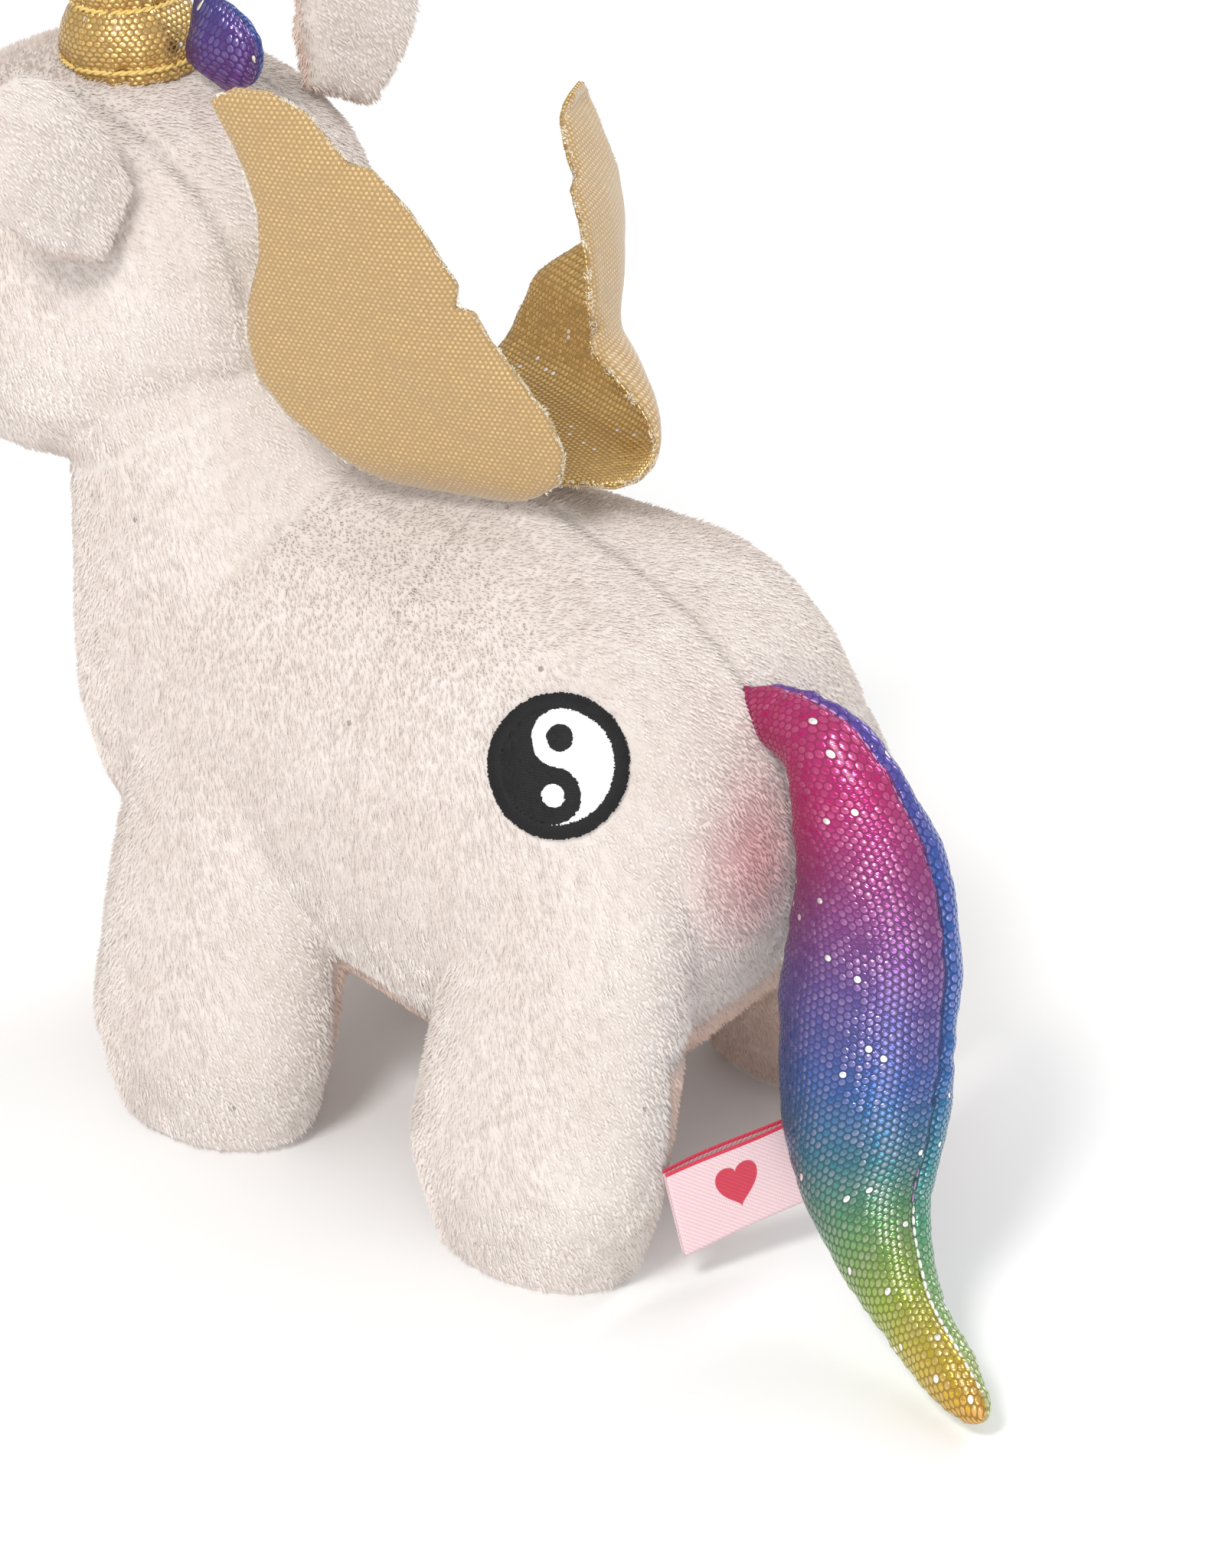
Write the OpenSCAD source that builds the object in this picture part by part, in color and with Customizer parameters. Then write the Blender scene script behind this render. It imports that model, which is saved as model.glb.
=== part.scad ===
// Standing plush unicorn with foil wings, horn, mane and tail.
// Millimetres, +Z up. The unicorn faces -Y and its left flank is on +X.
// The origin is on the floor, in the middle of the unicorn's outline.

/* [Body] */
// Distance between the front feet and the hind feet
leg_spacing = 67; // [60:1:80]
// Distance between the left feet and the right feet
stance = 72; // [64:1:86]
// Width of the trunk
body_w = 84; // [74:1:96]
// Height of the back above the floor
back_h = 109; // [100:1:125]
// Height of the belly above the floor
belly_h = 17; // [13:1:22]
// Length of a foot
foot_l = 45; // [38:1:50]
// Width of a foot
foot_w = 33; // [28:1:38]
// Thickness of the plush skin
skin_t = 1.8; // [1.2:0.1:2.6]
// Width of the belly gusset between the side panels
gusset_w = 60; // [52:1:66]
// Thickness of the pressed pile under each foot
sole_t = 1.2; // [0.8:0.1:1.6]

/* [Head] */
// Width of the head
head_w = 86; // [76:1:98]
// Length of the skull from its back to its brow
head_l = 84; // [74:1:94]
// Height of the skull
head_h = 68; // [60:1:80]
// Height of the middle of the skull above the back
head_rise = 21; // [16:1:30]
// Reach of the muzzle ahead of the middle of the skull
muzzle_reach = 30; // [24:1:36]
// Width of the forehead gusset
brow_w = 30; // [24:1:38]
// Length of an ear from its seam to its tip
ear_l = 30; // [26:1:36]
// Width of an ear
ear_w = 25; // [21:1:30]
// Thickness of an ear
ear_t = 8; // [6:0.5:10]
// Radius of an eye
eye_r = 6.5; // [5:0.5:8]

/* [Horn and mane] */
// Radius of the horn at its seam
horn_r = 11.5; // [9:0.5:13]
// Length of the horn
horn_l = 38; // [30:1:46]
// Number of puffed turns on the horn
horn_turns = 4; // [3:1:5]
// Length of the mane lock
mane_l = 15; // [12:1:20]
// Width of the mane lock
mane_w = 15; // [12:1:18]

/* [Wings] */
// Size of a wing compared with its pattern
wing_scale = 1; // [0.9:0.05:1.15]
// Thickness of one wing sheet
wing_t = 0.9; // [0.7:0.1:1.2]
// Lean of the left wing away from upright
wing_left_lean = 8; // [4:1:16]
// Lean of the right wing away from upright
wing_right_lean = 14; // [8:1:24]
// Width of the right wing's part that lies over the back before it stands up
wing_right_flat = 17; // [0:1:20]

/* [Tail] */
// Depth of the tail between its two seams
tail_d = 29; // [24:1:32]
// Thickness of the tail from side to side
tail_t = 23; // [18:1:25]
// Thickness of the foil cloth
foil_t = 0.8; // [0.6:0.1:1.2]
// Sideways swing of the tail's tip
tail_sway = 38; // [30:1:44]

/* [Trims] */
// Radius of the hip emblem
emblem_r = 11; // [9:0.5:12]
// Raised height of the emblem's stitches
emblem_t = 0.7; // [0.5:0.1:1]
// Width of the label tape
label_w = 16; // [12:1:18]
// Length of the folded label
label_l = 23; // [18:1:26]

/* [Fits] */
// Gap between a cover and its filling
fill_gap = 0.2; // [0.1:0.05:0.3]
// Gap between pieces that move against each other
move_gap = 0.6; // [0.4:0.1:1]

/* [Hidden] */
soft_fn = 24;
far = 400;
mid_y = 5;                                  // the middle of the feet lies behind the origin
hind_y = mid_y + leg_spacing / 2;
front_y = mid_y - leg_spacing / 2;
body_h = back_h - belly_h;
body_z = belly_h + body_h / 2;
head_y = front_y - 44.5;
head_z = back_h + head_rise;
head_r = [head_w / 2, head_l / 2, head_h / 2];
neck_y = front_y - 30;                      // a point on the neck seam
neck_z = back_h - 5;
neck_tip = 32;                              // forward slope of the neck seam
gusset_z = belly_h + 20;
leg_lean = 10;                              // each foot stands this far outside its hip
wing_gap = move_gap + 1.4;
wing_y = front_y + 39.5;
tail_y = hind_y + 17.3;
tail_z = back_h - 23;
horn_y = head_y + 3;
horn_z = head_z + head_h / 2 - 1;
// The middle of each ear's seam on the head, seen from the middle of the skull.
ear_left_at = [head_w / 2 - 12, 22.3, head_h / 2 - 12.7];
ear_right_at = [-head_w / 2 + 13.6, 21.7, head_h / 2 - 9];
ear_forward = 12;                           // lean of the ears ahead of upright
ear_left_splay = 42;                        // lean of each ear out to its side
ear_right_splay = 29;

// ---- helpers ----

// An egg at c with half sizes r, grown by g all over.
module egg(c, r, g = 0) {
    translate(c)
        scale([for (v = r) v + g])
            sphere(1, $fn = soft_fn);
}

// A closed skin through rings that have the same number of points.
module loft(rings) {
    n = len(rings[0]);
    m = len(rings);
    points = [for (ring = rings) each ring];
    walls = [for (i = [0 : m - 2], j = [0 : n - 1])
        each [
            [i * n + j, i * n + (j + 1) % n, (i + 1) * n + (j + 1) % n],
            [i * n + j, (i + 1) * n + (j + 1) % n, (i + 1) * n + j]
        ]];
    ends = [
        [for (j = [n - 1 : -1 : 0]) j],
        [for (j = [0 : n - 1]) (m - 1) * n + j]
    ];
    polyhedron(points, concat(ends, walls), convexity = 6);
}

function unit(v) = v / norm(v);

// ---- the stuffed body ----

// One leg, front or hind, on the side s (1 left, -1 right), cut flat at the floor.
module leg(y, s, g = 0, floor_z = 0) {
    intersection() {
        hull() {
            egg([s * (stance / 2 - leg_lean), y, body_z - 8], [foot_w / 2 - 1, foot_l / 2 - 1, 24], g);
            egg([s * stance / 2, y, 18], [foot_w / 2, foot_l / 2, 16], g);
            sole_disc(y, s, g + 1.2);
        }
        translate([-far / 2, -far / 2, floor_z])
            cube([far, far, far]);
    }
}

module legs(g = 0, floor_z = 0) {
    for (s = [-1, 1], y = [front_y, hind_y])
        leg(y, s, g, floor_z);
}

// Trunk from the rump to the chest.
module trunk(g = 0) {
    hull() {
        for (s = [-1, 1])
            egg([s * (body_w / 2 - 28), hind_y - 12, body_z - 3], [28, 35, body_h / 2 - 4], g);
        egg([0, front_y - 2, body_z + 3], [body_w / 2 - 3, 38, body_h / 2 - 3], g);
        egg([0, mid_y + 4, body_z], [body_w / 2 - 4, 34, body_h / 2], g);
    }
    hull() {
        egg([0, front_y - 9, body_z + 4], [38, 38, 42], g);
        egg([0, neck_y + 8, neck_z + 4], [31, 24, 22], g);
    }
}

// Skull and muzzle.
module skull(g = 0) {
    hull() {
        egg([0, head_y, head_z], head_r, g);
        egg([0, head_y - muzzle_reach, head_z - 10], [27, 22, 21], g);
    }
    hull() {
        egg([0, neck_y + 8, neck_z + 4], [31, 24, 22], g);
        egg([0, head_y + 14, head_z - 8], [34, 26, 20], g);
    }
}

// The whole stuffed shape, grown by g, above floor_z.
module figure(g = 0, floor_z = 0) {
    legs(g, floor_z);
    trunk(g);
    skull(g);
}

// Everything on the head side of the neck seam.
module head_side_of_neck() {
    translate([0, neck_y, neck_z])
        rotate([neck_tip, 0, 0])
            translate([-far / 2, -far / 2, 0])
                cube([far, far, far]);
}

module half(s) {
    translate([s > 0 ? 0 : -far, -far / 2, -far / 2])
        cube([far, far, far]);
}

module gusset_zone() {
    translate([-gusset_w / 2, -far / 2, -1])
        cube([gusset_w, far, gusset_z + 1]);
}

module sole_zone() {
    for (s = [-1, 1], y = [front_y, hind_y])
        sole_disc(y, s, fill_gap);
}

// The flat pad of pressed pile under one foot, or the space for it when g is above 0.
module sole_disc(y, s, g = 0) {
    translate([s * stance / 2, y, -max(g, 0)])
        linear_extrude(sole_t + 2 * max(g, 0))
            polygon([for (a = [0 : 7.5 : 359]) [
                (foot_w / 2 - 5 + g) * cos(a),
                (foot_l / 2 - 6 + g) * sin(a)
            ]]);
}

module body_skin() {
    difference() {
        figure();
        figure(-skin_t, sole_t);
        head_side_of_neck();
        sole_zone();
    }
}

module body_side(s) {
    difference() {
        intersection() {
            body_skin();
            half(s);
        }
        gusset_zone();
    }
}

module body_side_left() {
    color("ivory") body_side(1);
}

module body_side_right() {
    color("ivory") body_side(-1);
}

module belly_gusset() {
    color("linen")
        intersection() {
            body_skin();
            gusset_zone();
        }
}

// The trunk's filling stops where each leg's own wad begins.
module leg_top(g = 0) {
    translate([-far / 2, -far / 2, -1])
        cube([far, far, belly_h + 1 + g]);
}

module body_filling() {
    color("white")
        difference() {
            figure(-skin_t - fill_gap, sole_t + fill_gap);
            head_side_of_neck();
            leg_top(fill_gap);
        }
}

module leg_filling(y, s) {
    color("white")
        intersection() {
            figure(-skin_t - fill_gap, sole_t + fill_gap);
            leg_top();
            translate([s > 0 ? 0.1 : -far - 0.1, y - leg_spacing / 2 + 0.1, 0])
                cube([far, leg_spacing - 0.2, far]);
        }
}

module leg_filling_front_left() {
    leg_filling(front_y, 1);
}

module leg_filling_front_right() {
    leg_filling(front_y, -1);
}

module leg_filling_hind_left() {
    leg_filling(hind_y, 1);
}

module leg_filling_hind_right() {
    leg_filling(hind_y, -1);
}

module sole_front_left() {
    color("ivory") sole_disc(front_y, 1);
}

module sole_front_right() {
    color("ivory") sole_disc(front_y, -1);
}

module sole_hind_left() {
    color("ivory") sole_disc(hind_y, 1);
}

module sole_hind_right() {
    color("ivory") sole_disc(hind_y, -1);
}

// ---- head ----

module head_skin() {
    difference() {
        intersection() {
            difference() {
                figure();
                figure(-skin_t);
            }
            head_side_of_neck();
        }
        for (s = [-1, 1])
            eye_place(s)
                eye_form(fill_gap);
        horn_seat();
    }
}

// The strip of plush over the brow and the top of the head.
module brow_zone() {
    translate([-brow_w / 2, -far / 2, head_z + 4])
        cube([brow_w, far, far]);
}

module head_side(s) {
    difference() {
        intersection() {
            head_skin();
            half(s);
        }
        brow_zone();
    }
}

module head_side_left() {
    color("ivory") head_side(1);
}

module head_side_right() {
    color("ivory") head_side(-1);
}

module head_gusset() {
    color("ivory")
        intersection() {
            head_skin();
            brow_zone();
        }
}

module head_filling() {
    color("white")
        difference() {
            intersection() {
                figure(-skin_t - fill_gap);
                head_side_of_neck();
            }
            for (s = [-1, 1])
                eye_place(s)
                    eye_form(fill_gap);
            horn_seat();
        }
}

// A domed eye with its stem, standing on +Z with its rim at z = 0.
module eye_form(g = 0) {
    dome_h = eye_r * 0.55;
    rotate_extrude($fn = 40)
        polygon(concat(
            [for (a = [0 : 9 : 90]) [(eye_r + g) * sin(a), (dome_h + g) * cos(a)]],
            [[eye_r + g, -0.8 - g], [1.8 + g, -0.8 - g], [1.8 + g, -9 - g], [0, -9 - g]]
        ));
}

// The left or the right eye's place on the side of the muzzle.
module eye_place(s) {
    translate([s * 28.5, head_y - 33, head_z + 1])
        rotate([0, 0, s > 0 ? -50 : 230])
            rotate([0, 82, 0])
                translate([0, 0, -0.6])
                    children();
}

module eye_left() {
    color("black") eye_place(1) eye_form();
}

module eye_right() {
    color("black") eye_place(-1) eye_form();
}

// ---- ears: each bends about its seam, which is the axis of the rod at its root ----

// An ear stands on its own +Z and faces its own -Y. Its seam runs along X at the origin.
module ear_form() {
    hull() {
        rotate([0, 90, 0])
            cylinder(r = ear_t / 2 - 0.8, h = ear_w * 0.7, center = true, $fn = 24);
        egg([0, 0, ear_l - ear_w * 0.52], [ear_w / 2, ear_t / 2, ear_w * 0.52]);
    }
}

module ear_place(s) {
    translate([0, head_y, head_z] + (s > 0 ? ear_left_at : ear_right_at))
        rotate([ear_forward, 0, 0])
            rotate([0, s > 0 ? ear_left_splay : -ear_right_splay, 0])
                rotate([0, 0, s > 0 ? 0 : -10])
                    children();
}

module ear_back(s) {
    ear_place(s)
        intersection() {
            ear_form();
            translate([-far / 2, 0, -far / 2])
                cube([far, far, far]);
        }
}

module ear_lining(s) {
    ear_place(s)
        intersection() {
            ear_form();
            translate([-far / 2, -far - fill_gap, -far / 2])
                cube([far, far, far]);
        }
}

module ear_back_left() {
    color("ivory") ear_back(1);
}

module ear_lining_left() {
    color("linen") ear_lining(1);
}

module ear_back_right() {
    color("ivory") ear_back(-1);
}

module ear_lining_right() {
    color("linen") ear_lining(-1);
}

// ---- horn: puffed turns with a thread drawn tight between them ----

// The horn tapers, and each turn puffs out between the waists where the thread lies.
function horn_radius(z) =
    horn_r * (1 - 0.84 * z / horn_l) + 1.3 * abs(sin(180 * z * horn_turns / horn_l)) - 0.6;

module horn_body(g = 0, foot = 0) {
    step = horn_l / (horn_turns * 8);
    rotate_extrude($fn = 48)
        polygon(concat(
            [[0, foot]],
            [[horn_radius(0) + g, foot]],
            [for (z = [step : step : horn_l - 0.01]) [max(horn_radius(z), 1.4) + g, z]],
            [[0.9 + g / 2, horn_l + g / 2], [0, horn_l + 0.6 + g]]
        ));
}

module horn_place() {
    translate([0, horn_y, horn_z])
        rotate([4, 0, 0])
            children();
}

module horn_cover() {
    color("gold")
        horn_place()
            difference() {
                horn_body();
                horn_body(-foil_t, -1);
            }
}

module horn_filling() {
    color("white")
        horn_place()
            horn_body(-foil_t - fill_gap);
}

// One ring of thread in each waist between two puffed turns.
module horn_thread() {
    color("goldenrod")
        horn_place()
            for (i = [1 : horn_turns - 1]) {
                z = i * horn_l / horn_turns;
                translate([0, 0, z])
                    rotate_extrude($fn = 40)
                        translate([horn_radius(z) + 0.65, 0])
                            circle(r = 0.45, $fn = 16);
            }
}

// The flat seat that the horn is sewn down on, cut into the head.
module horn_seat() {
    horn_place()
        translate([0, 0, -fill_gap])
            cylinder(r = horn_r + 1, h = 30, $fn = 48);
}

// ---- padded foil pieces: two cloth panels sewn edge to edge round a filling ----

// A smooth path through the points p, with n steps between each pair.
function knot(p, i) = p[max(0, min(len(p) - 1, i))];
function glide(p, n) = [
    for (i = [0 : len(p) - 2], k = [0 : n - 1])
        glide_point(knot(p, i - 1), p[i], p[i + 1], knot(p, i + 2), k / n),
    p[len(p) - 1]
];
function glide_point(a, b, c, d, t) =
    0.5 * (2 * b + (c - a) * t + (2 * a - 5 * b + 4 * c - d) * t * t + (3 * b - a - 3 * c + d) * t * t * t);

function tangent(path, i) = unit(path[min(i + 1, len(path) - 1)] - path[max(i - 1, 0)]);

// Half of a ring round path point i, on the side s: its outer arc and back along its inner arc.
// Each path point is [x, y, z, share of the full size]. The seams lie in the YZ plane.
function panel_ring(path, i, s, d, t, cloth) =
    let (
        c = [for (k = [0 : 2]) path[i][k]],
        f = tangent([for (q = path) [q[0], q[1], q[2]]], i),
        seam = unit(cross([1, 0, 0], f)),
        side = cross(f, seam) * s,
        a = max(d / 2 * path[i][3], cloth + 0.7),
        b = max(t / 2 * path[i][3], cloth + 0.7)
    )
    concat(
        [for (w = [0 : 20 : 180]) c + seam * a * cos(w) + side * (b * sin(w) + 0.05)],
        [for (w = [180 : -20 : 0]) c + seam * (a - cloth) * cos(w) + side * ((b - cloth) * sin(w) + 0.05)]
    );

function core_ring(path, i, d, t, inset) =
    let (
        c = [for (k = [0 : 2]) path[i][k]],
        f = tangent([for (q = path) [q[0], q[1], q[2]]], i),
        seam = unit(cross([1, 0, 0], f)),
        side = cross(f, seam),
        a = d / 2 * path[i][3] - inset,
        b = t / 2 * path[i][3] - inset
    )
    [for (w = [0 : 20 : 359]) c + seam * a * cos(w) + side * b * sin(w)];

function flip(ring) = [for (i = [len(ring) - 1 : -1 : 0]) ring[i]];

module padded_panel(path, s, d, t) {
    rings = [for (i = [0 : len(path) - 1]) panel_ring(path, i, s, d, t, foil_t)];
    loft(s > 0 ? [for (r = rings) flip(r)] : rings);
}

module padded_core(path, d, t) {
    inset = foil_t + fill_gap;
    kept = [for (i = [0 : len(path) - 1]) if (path[i][3] * t / 2 > inset + 0.5) i];
    loft([for (i = kept) core_ring(path, i, d, t, inset)]);
}

// ---- mane lock ----

mane_root = [0, head_y + 23, head_z + head_h / 2 - 2.6];
mane_path = glide([for (q = [
    [0, 0.00, 0.30],
    [0, 0.25, 0.85],
    [-1, 0.50, 1.00],
    [-3, 0.75, 0.70],
    [-6, 1.00, 0.12]
]) concat(mane_root + [0, q[0], q[1] * mane_l], q[2])], 3);

module mane_panel_left() {
    color("mediumslateblue") padded_panel(mane_path, 1, mane_w, mane_w * 0.6);
}

module mane_panel_right() {
    color("royalblue") padded_panel(mane_path, -1, mane_w, mane_w * 0.6);
}

module mane_filling() {
    color("white") padded_core(mane_path, mane_w, mane_w * 0.6);
}

// ---- tail ----

tail_drop = tail_z - 4.5;
tail_root = [0, tail_y, tail_z];
tail_path = glide([for (q = [
    [0.00, 1.5, 0.005, 0.16],
    [0.04, 12.5, 0.045, 0.58],
    [0.10, 21, 0.20, 0.84],
    [0.19, 25, 0.34, 0.96],
    [0.29, 27, 0.47, 1.00],
    [0.42, 30, 0.63, 0.98],
    [0.58, 36, 0.79, 0.74],
    [0.75, 47, 0.905, 0.46],
    [0.91, 59, 0.96, 0.36],
    [1.00, 68, 0.995, 0.18]
]) [tail_sway * q[0], tail_y + q[1], tail_z - tail_drop * q[2], q[3]]], 2);

module tail_panel_left() {
    color("mediumvioletred") padded_panel(tail_path, 1, tail_d, tail_t);
}

module tail_panel_right() {
    color("royalblue") padded_panel(tail_path, -1, tail_d, tail_t);
}

module tail_filling() {
    color("white") padded_core(tail_path, tail_d, tail_t);
}

// The knot of sewing thread that the tail turns on.
module tail_root_knot() {
    color("violet")
        translate(tail_root)
            sphere(r = 1.1, $fn = 32);
}

// ---- wings: two foil sheets, bent up from a seam on the back ----

wing_left_x = 6;                            // how far each seam lies from the middle of the back
wing_right_x = 1;
wing_root_z = back_h + wing_gap;
wing_yaw = 17;                              // the seams part towards the head
wing_left_low = 55;                         // each sheet's slope from upright at its seam
wing_right_low = 84;
wing_left_bend = 12;                        // radius of each sheet's bend
wing_right_bend = 6;
// Where the rear edge and the front edge lie, ahead of the seam's rear end, at each height.
wing_rear = [
    [0, 0], [4, -5], [8, -9.3], [13, -10.3], [19, -8.2], [25, -3.6], [31, 1.2], [35.5, 3.4], [36.3, 6.2],
    [40, 5.6], [44, 8], [52, 12.8], [56, 16.3], [58, 18.4], [58.8, 22], [61, 23.7], [66, 28.2], [69.3, 34]
];
wing_front = [
    [0, 20], [6, 27], [9, 30.5], [13, 35.5], [19, 39.8], [25.5, 40.8], [32.5, 39.9], [41, 37.3],
    [48.5, 36.9], [54.5, 38], [60.5, 40.2], [67, 42.9], [69.3, 39]
];
wing_rows = concat(
    [for (t = [0 : 2.2 : 33]) t], [35.5, 36.3], [for (t = [39 : 3 : 57]) t], [58, 58.8, 61, 64, 67, 69.3]
);

// A wing's stance: [slope at its seam, flat width, radius of its bend, lean of its upright part].
left_stance = [wing_left_low, 0, wing_left_bend, wing_left_lean];
right_stance = [wing_right_low, wing_right_flat, wing_right_bend, wing_right_lean];

// The sheet's slope from upright, t up from its seam.
function wing_slope(t, st) =
    max(st[3], st[0] - max(0, t - st[1]) / st[2] * 180 / PI);

// How far a sheet point t up from the seam lies out from the seam and above it, by short steps.
function wing_lift(t, st, at = 0, sum = [0, 0]) =
    at >= t - 0.001 ? sum :
    let (
        step = min(1, t - at),
        a = wing_slope(at + step / 2, st)
    )
    wing_lift(t, st, at + step, sum + step * [sin(a), cos(a)]);

// A sheet point u ahead and t up along the sheet, and d out from its middle face.
function wing_point(side, st, u, t, d) =
    let (
        a = wing_slope(t, st),
        q = wing_lift(t, st) + d * [cos(a), -sin(a)],
        ahead = [side * sin(wing_yaw), -cos(wing_yaw), 0],
        out = [side * cos(wing_yaw), sin(wing_yaw), 0],
        root = [side > 0 ? wing_left_x : -wing_right_x, wing_y, wing_root_z]
    )
    root + ahead * u + out * q[0] + [0, 0, q[1]];

module wing_sheet(side, st, from, to) {
    k = wing_scale;
    rings = [for (t = wing_rows) let (a = lookup(t, wing_rear) * k, b = lookup(t, wing_front) * k) [
        wing_point(side, st, a, t * k, from),
        wing_point(side, st, b, t * k, from),
        wing_point(side, st, b, t * k, to),
        wing_point(side, st, a, t * k, to)
    ]];
    loft(side > 0 ? [for (r = rings) flip(r)] : rings);
}

module wing_left_outer() {
    color("goldenrod") wing_sheet(1, left_stance, 0.05, 0.05 + wing_t);
}

module wing_left_inner() {
    color("gold") wing_sheet(1, left_stance, -0.05 - wing_t, -0.05);
}

module wing_right_outer() {
    color("goldenrod") wing_sheet(-1, right_stance, 0.05, 0.05 + wing_t);
}

module wing_right_inner() {
    color("gold") wing_sheet(-1, right_stance, -0.05 - wing_t, -0.05);
}

// ---- hip emblem: flat embroidery that follows the left hip ----

module on_hip(low, high) {
    intersection() {
        difference() {
            figure(high);
            figure(low);
        }
        translate([body_w / 2 - 14, hind_y - 1, back_h - 26])
            rotate([0, 70, 24])
                rotate([0, 0, 90])
                    linear_extrude(40, center = true)
                        children();
    }
}

module small_dot(up) {
    translate([0, up * (emblem_r - 2) / 2])
        circle(r = emblem_r * 0.14, $fn = 32);
}

// The light half: a disc's right side, with a round head above and a round bite below.
module light_half() {
    r = emblem_r - 2;
    difference() {
        union() {
            intersection() {
                circle(r = r, $fn = 64);
                translate([0, -r])
                    square([r, 2 * r]);
            }
            translate([0, r / 2])
                circle(r = r / 2, $fn = 48);
        }
        translate([0, -r / 2])
            circle(r = r / 2, $fn = 48);
        small_dot(1);
    }
}

module emblem_border() {
    color("black")
        on_hip(0.1, emblem_t + 0.3)
            difference() {
                circle(r = emblem_r, $fn = 64);
                circle(r = emblem_r - 1.95, $fn = 64);
            }
}

module emblem_light() {
    color("white")
        on_hip(0.1, emblem_t) {
            light_half();
            small_dot(-1);
        }
}

module emblem_dark() {
    color("black")
        on_hip(0.1, emblem_t)
            difference() {
                circle(r = emblem_r - 2, $fn = 64);
                offset(delta = 0.03) {
                    light_half();
                    small_dot(-1);
                }
            }
}

// ---- label: a folded tape held in the rear seam of the left hind leg ----

label_root = [stance / 2 - 3, hind_y + foot_l / 2 + 0.8, 13.5];
label_turn = 152;                           // the way the tape points, from +X towards +Y
label_tilt = 12;                            // its rise towards the fold

module label_loop() {
    color("pink")
        translate(label_root)
            rotate([0, 0, label_turn])
                rotate([0, -label_tilt, 0])
                    translate([move_gap, 0, 0])
                        rotate([90, 0, 0])
                            linear_extrude(1.4, center = true)
                                translate([0, -label_w / 2])
                                    square([label_l, label_w]);
}

body_side_left();
body_side_right();
belly_gusset();
body_filling();
leg_filling_front_left();
leg_filling_front_right();
leg_filling_hind_left();
leg_filling_hind_right();
sole_front_left();
sole_front_right();
sole_hind_left();
sole_hind_right();
head_side_left();
head_side_right();
head_gusset();
head_filling();
eye_left();
eye_right();
ear_back_left();
ear_lining_left();
ear_back_right();
ear_lining_right();
horn_cover();
horn_filling();
horn_thread();
mane_panel_left();
mane_panel_right();
mane_filling();
wing_left_outer();
wing_left_inner();
wing_right_outer();
wing_right_inner();
tail_root_knot();
tail_panel_left();
tail_panel_right();
tail_filling();
emblem_border();
emblem_dark();
emblem_light();
label_loop();
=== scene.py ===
import math
import random

import bmesh
import bpy
import numpy as np
from mathutils import Matrix, Vector, noise
from mathutils.bvhtree import BVHTree


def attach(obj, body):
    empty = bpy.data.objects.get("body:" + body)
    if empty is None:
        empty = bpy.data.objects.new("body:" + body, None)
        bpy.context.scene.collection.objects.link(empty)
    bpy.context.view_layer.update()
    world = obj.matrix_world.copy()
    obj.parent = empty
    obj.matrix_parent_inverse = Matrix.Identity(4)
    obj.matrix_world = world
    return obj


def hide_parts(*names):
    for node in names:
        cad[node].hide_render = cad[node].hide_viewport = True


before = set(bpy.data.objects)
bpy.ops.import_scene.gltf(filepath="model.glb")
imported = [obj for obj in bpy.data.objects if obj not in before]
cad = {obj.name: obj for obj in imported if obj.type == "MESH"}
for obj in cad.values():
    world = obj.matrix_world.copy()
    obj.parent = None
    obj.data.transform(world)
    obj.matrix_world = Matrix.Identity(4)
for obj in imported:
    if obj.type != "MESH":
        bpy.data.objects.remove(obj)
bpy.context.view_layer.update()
scene = bpy.context.scene
mm = 0.001

# where the camera stands
viewSetup = {
    "azimuth": 127.3, "elevation": 29.0, "distance": 0.9,
    "target": (-0.0207, 0.0081, 0.0479), "lens": 164.15, "sensor": 36.0,
}


def makeCamera(v):
    a, e = math.radians(v["azimuth"]), math.radians(v["elevation"])
    back = Vector((math.sin(a) * math.cos(e), -math.cos(a) * math.cos(e), math.sin(e)))
    data = bpy.data.cameras.new("viewCamera")
    data.lens, data.sensor_width, data.sensor_fit = v["lens"], v["sensor"], "HORIZONTAL"
    cam = bpy.data.objects.new("viewCamera", data)
    scene.collection.objects.link(cam)
    cam.location = Vector(v["target"]) + back * v["distance"]
    cam.rotation_euler = back.to_track_quat("Z", "Y").to_euler()
    scene.camera = cam


makeCamera(viewSetup)
scene.view_settings.view_transform = "Standard"
print("camera placed")


# small helpers for meshes
def newPiece(name, verts, faces, smooth=True):
    mesh = bpy.data.meshes.new(name)
    mesh.from_pydata([tuple(v) for v in verts], [], [tuple(f) for f in faces])
    mesh.update()
    mesh.polygons.foreach_set("use_smooth", [smooth] * len(mesh.polygons))
    obj = bpy.data.objects.new(name, mesh)
    scene.collection.objects.link(obj)
    return obj


def coordsOf(obj):
    co = np.zeros(len(obj.data.vertices) * 3)
    obj.data.vertices.foreach_get("co", co)
    return co.reshape(-1, 3)


def normalsOf(obj):
    no = np.zeros(len(obj.data.vertices) * 3)
    obj.data.vertices.foreach_get("normal", no)
    return no.reshape(-1, 3)


def placeCoords(obj, co):
    obj.data.vertices.foreach_set("co", np.asarray(co, float).ravel())
    obj.data.update()


def pointValues(obj, name, values):
    obj.data.attributes.new(name, "FLOAT", "POINT").data.foreach_set("value", np.asarray(values, float))


def pointColours(obj, name, colours):
    rgba = np.ones((len(colours), 4))
    rgba[:, :3] = colours
    obj.data.attributes.new(name, "FLOAT_COLOR", "POINT").data.foreach_set("color", rgba.ravel())


def cornerUv(obj, uv):
    layer = obj.data.uv_layers.new(name="cloth")
    loops = np.zeros(len(obj.data.loops), int)
    obj.data.loops.foreach_get("vertex_index", loops)
    layer.data.foreach_set("uv", np.asarray(uv, float)[loops].ravel())


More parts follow.
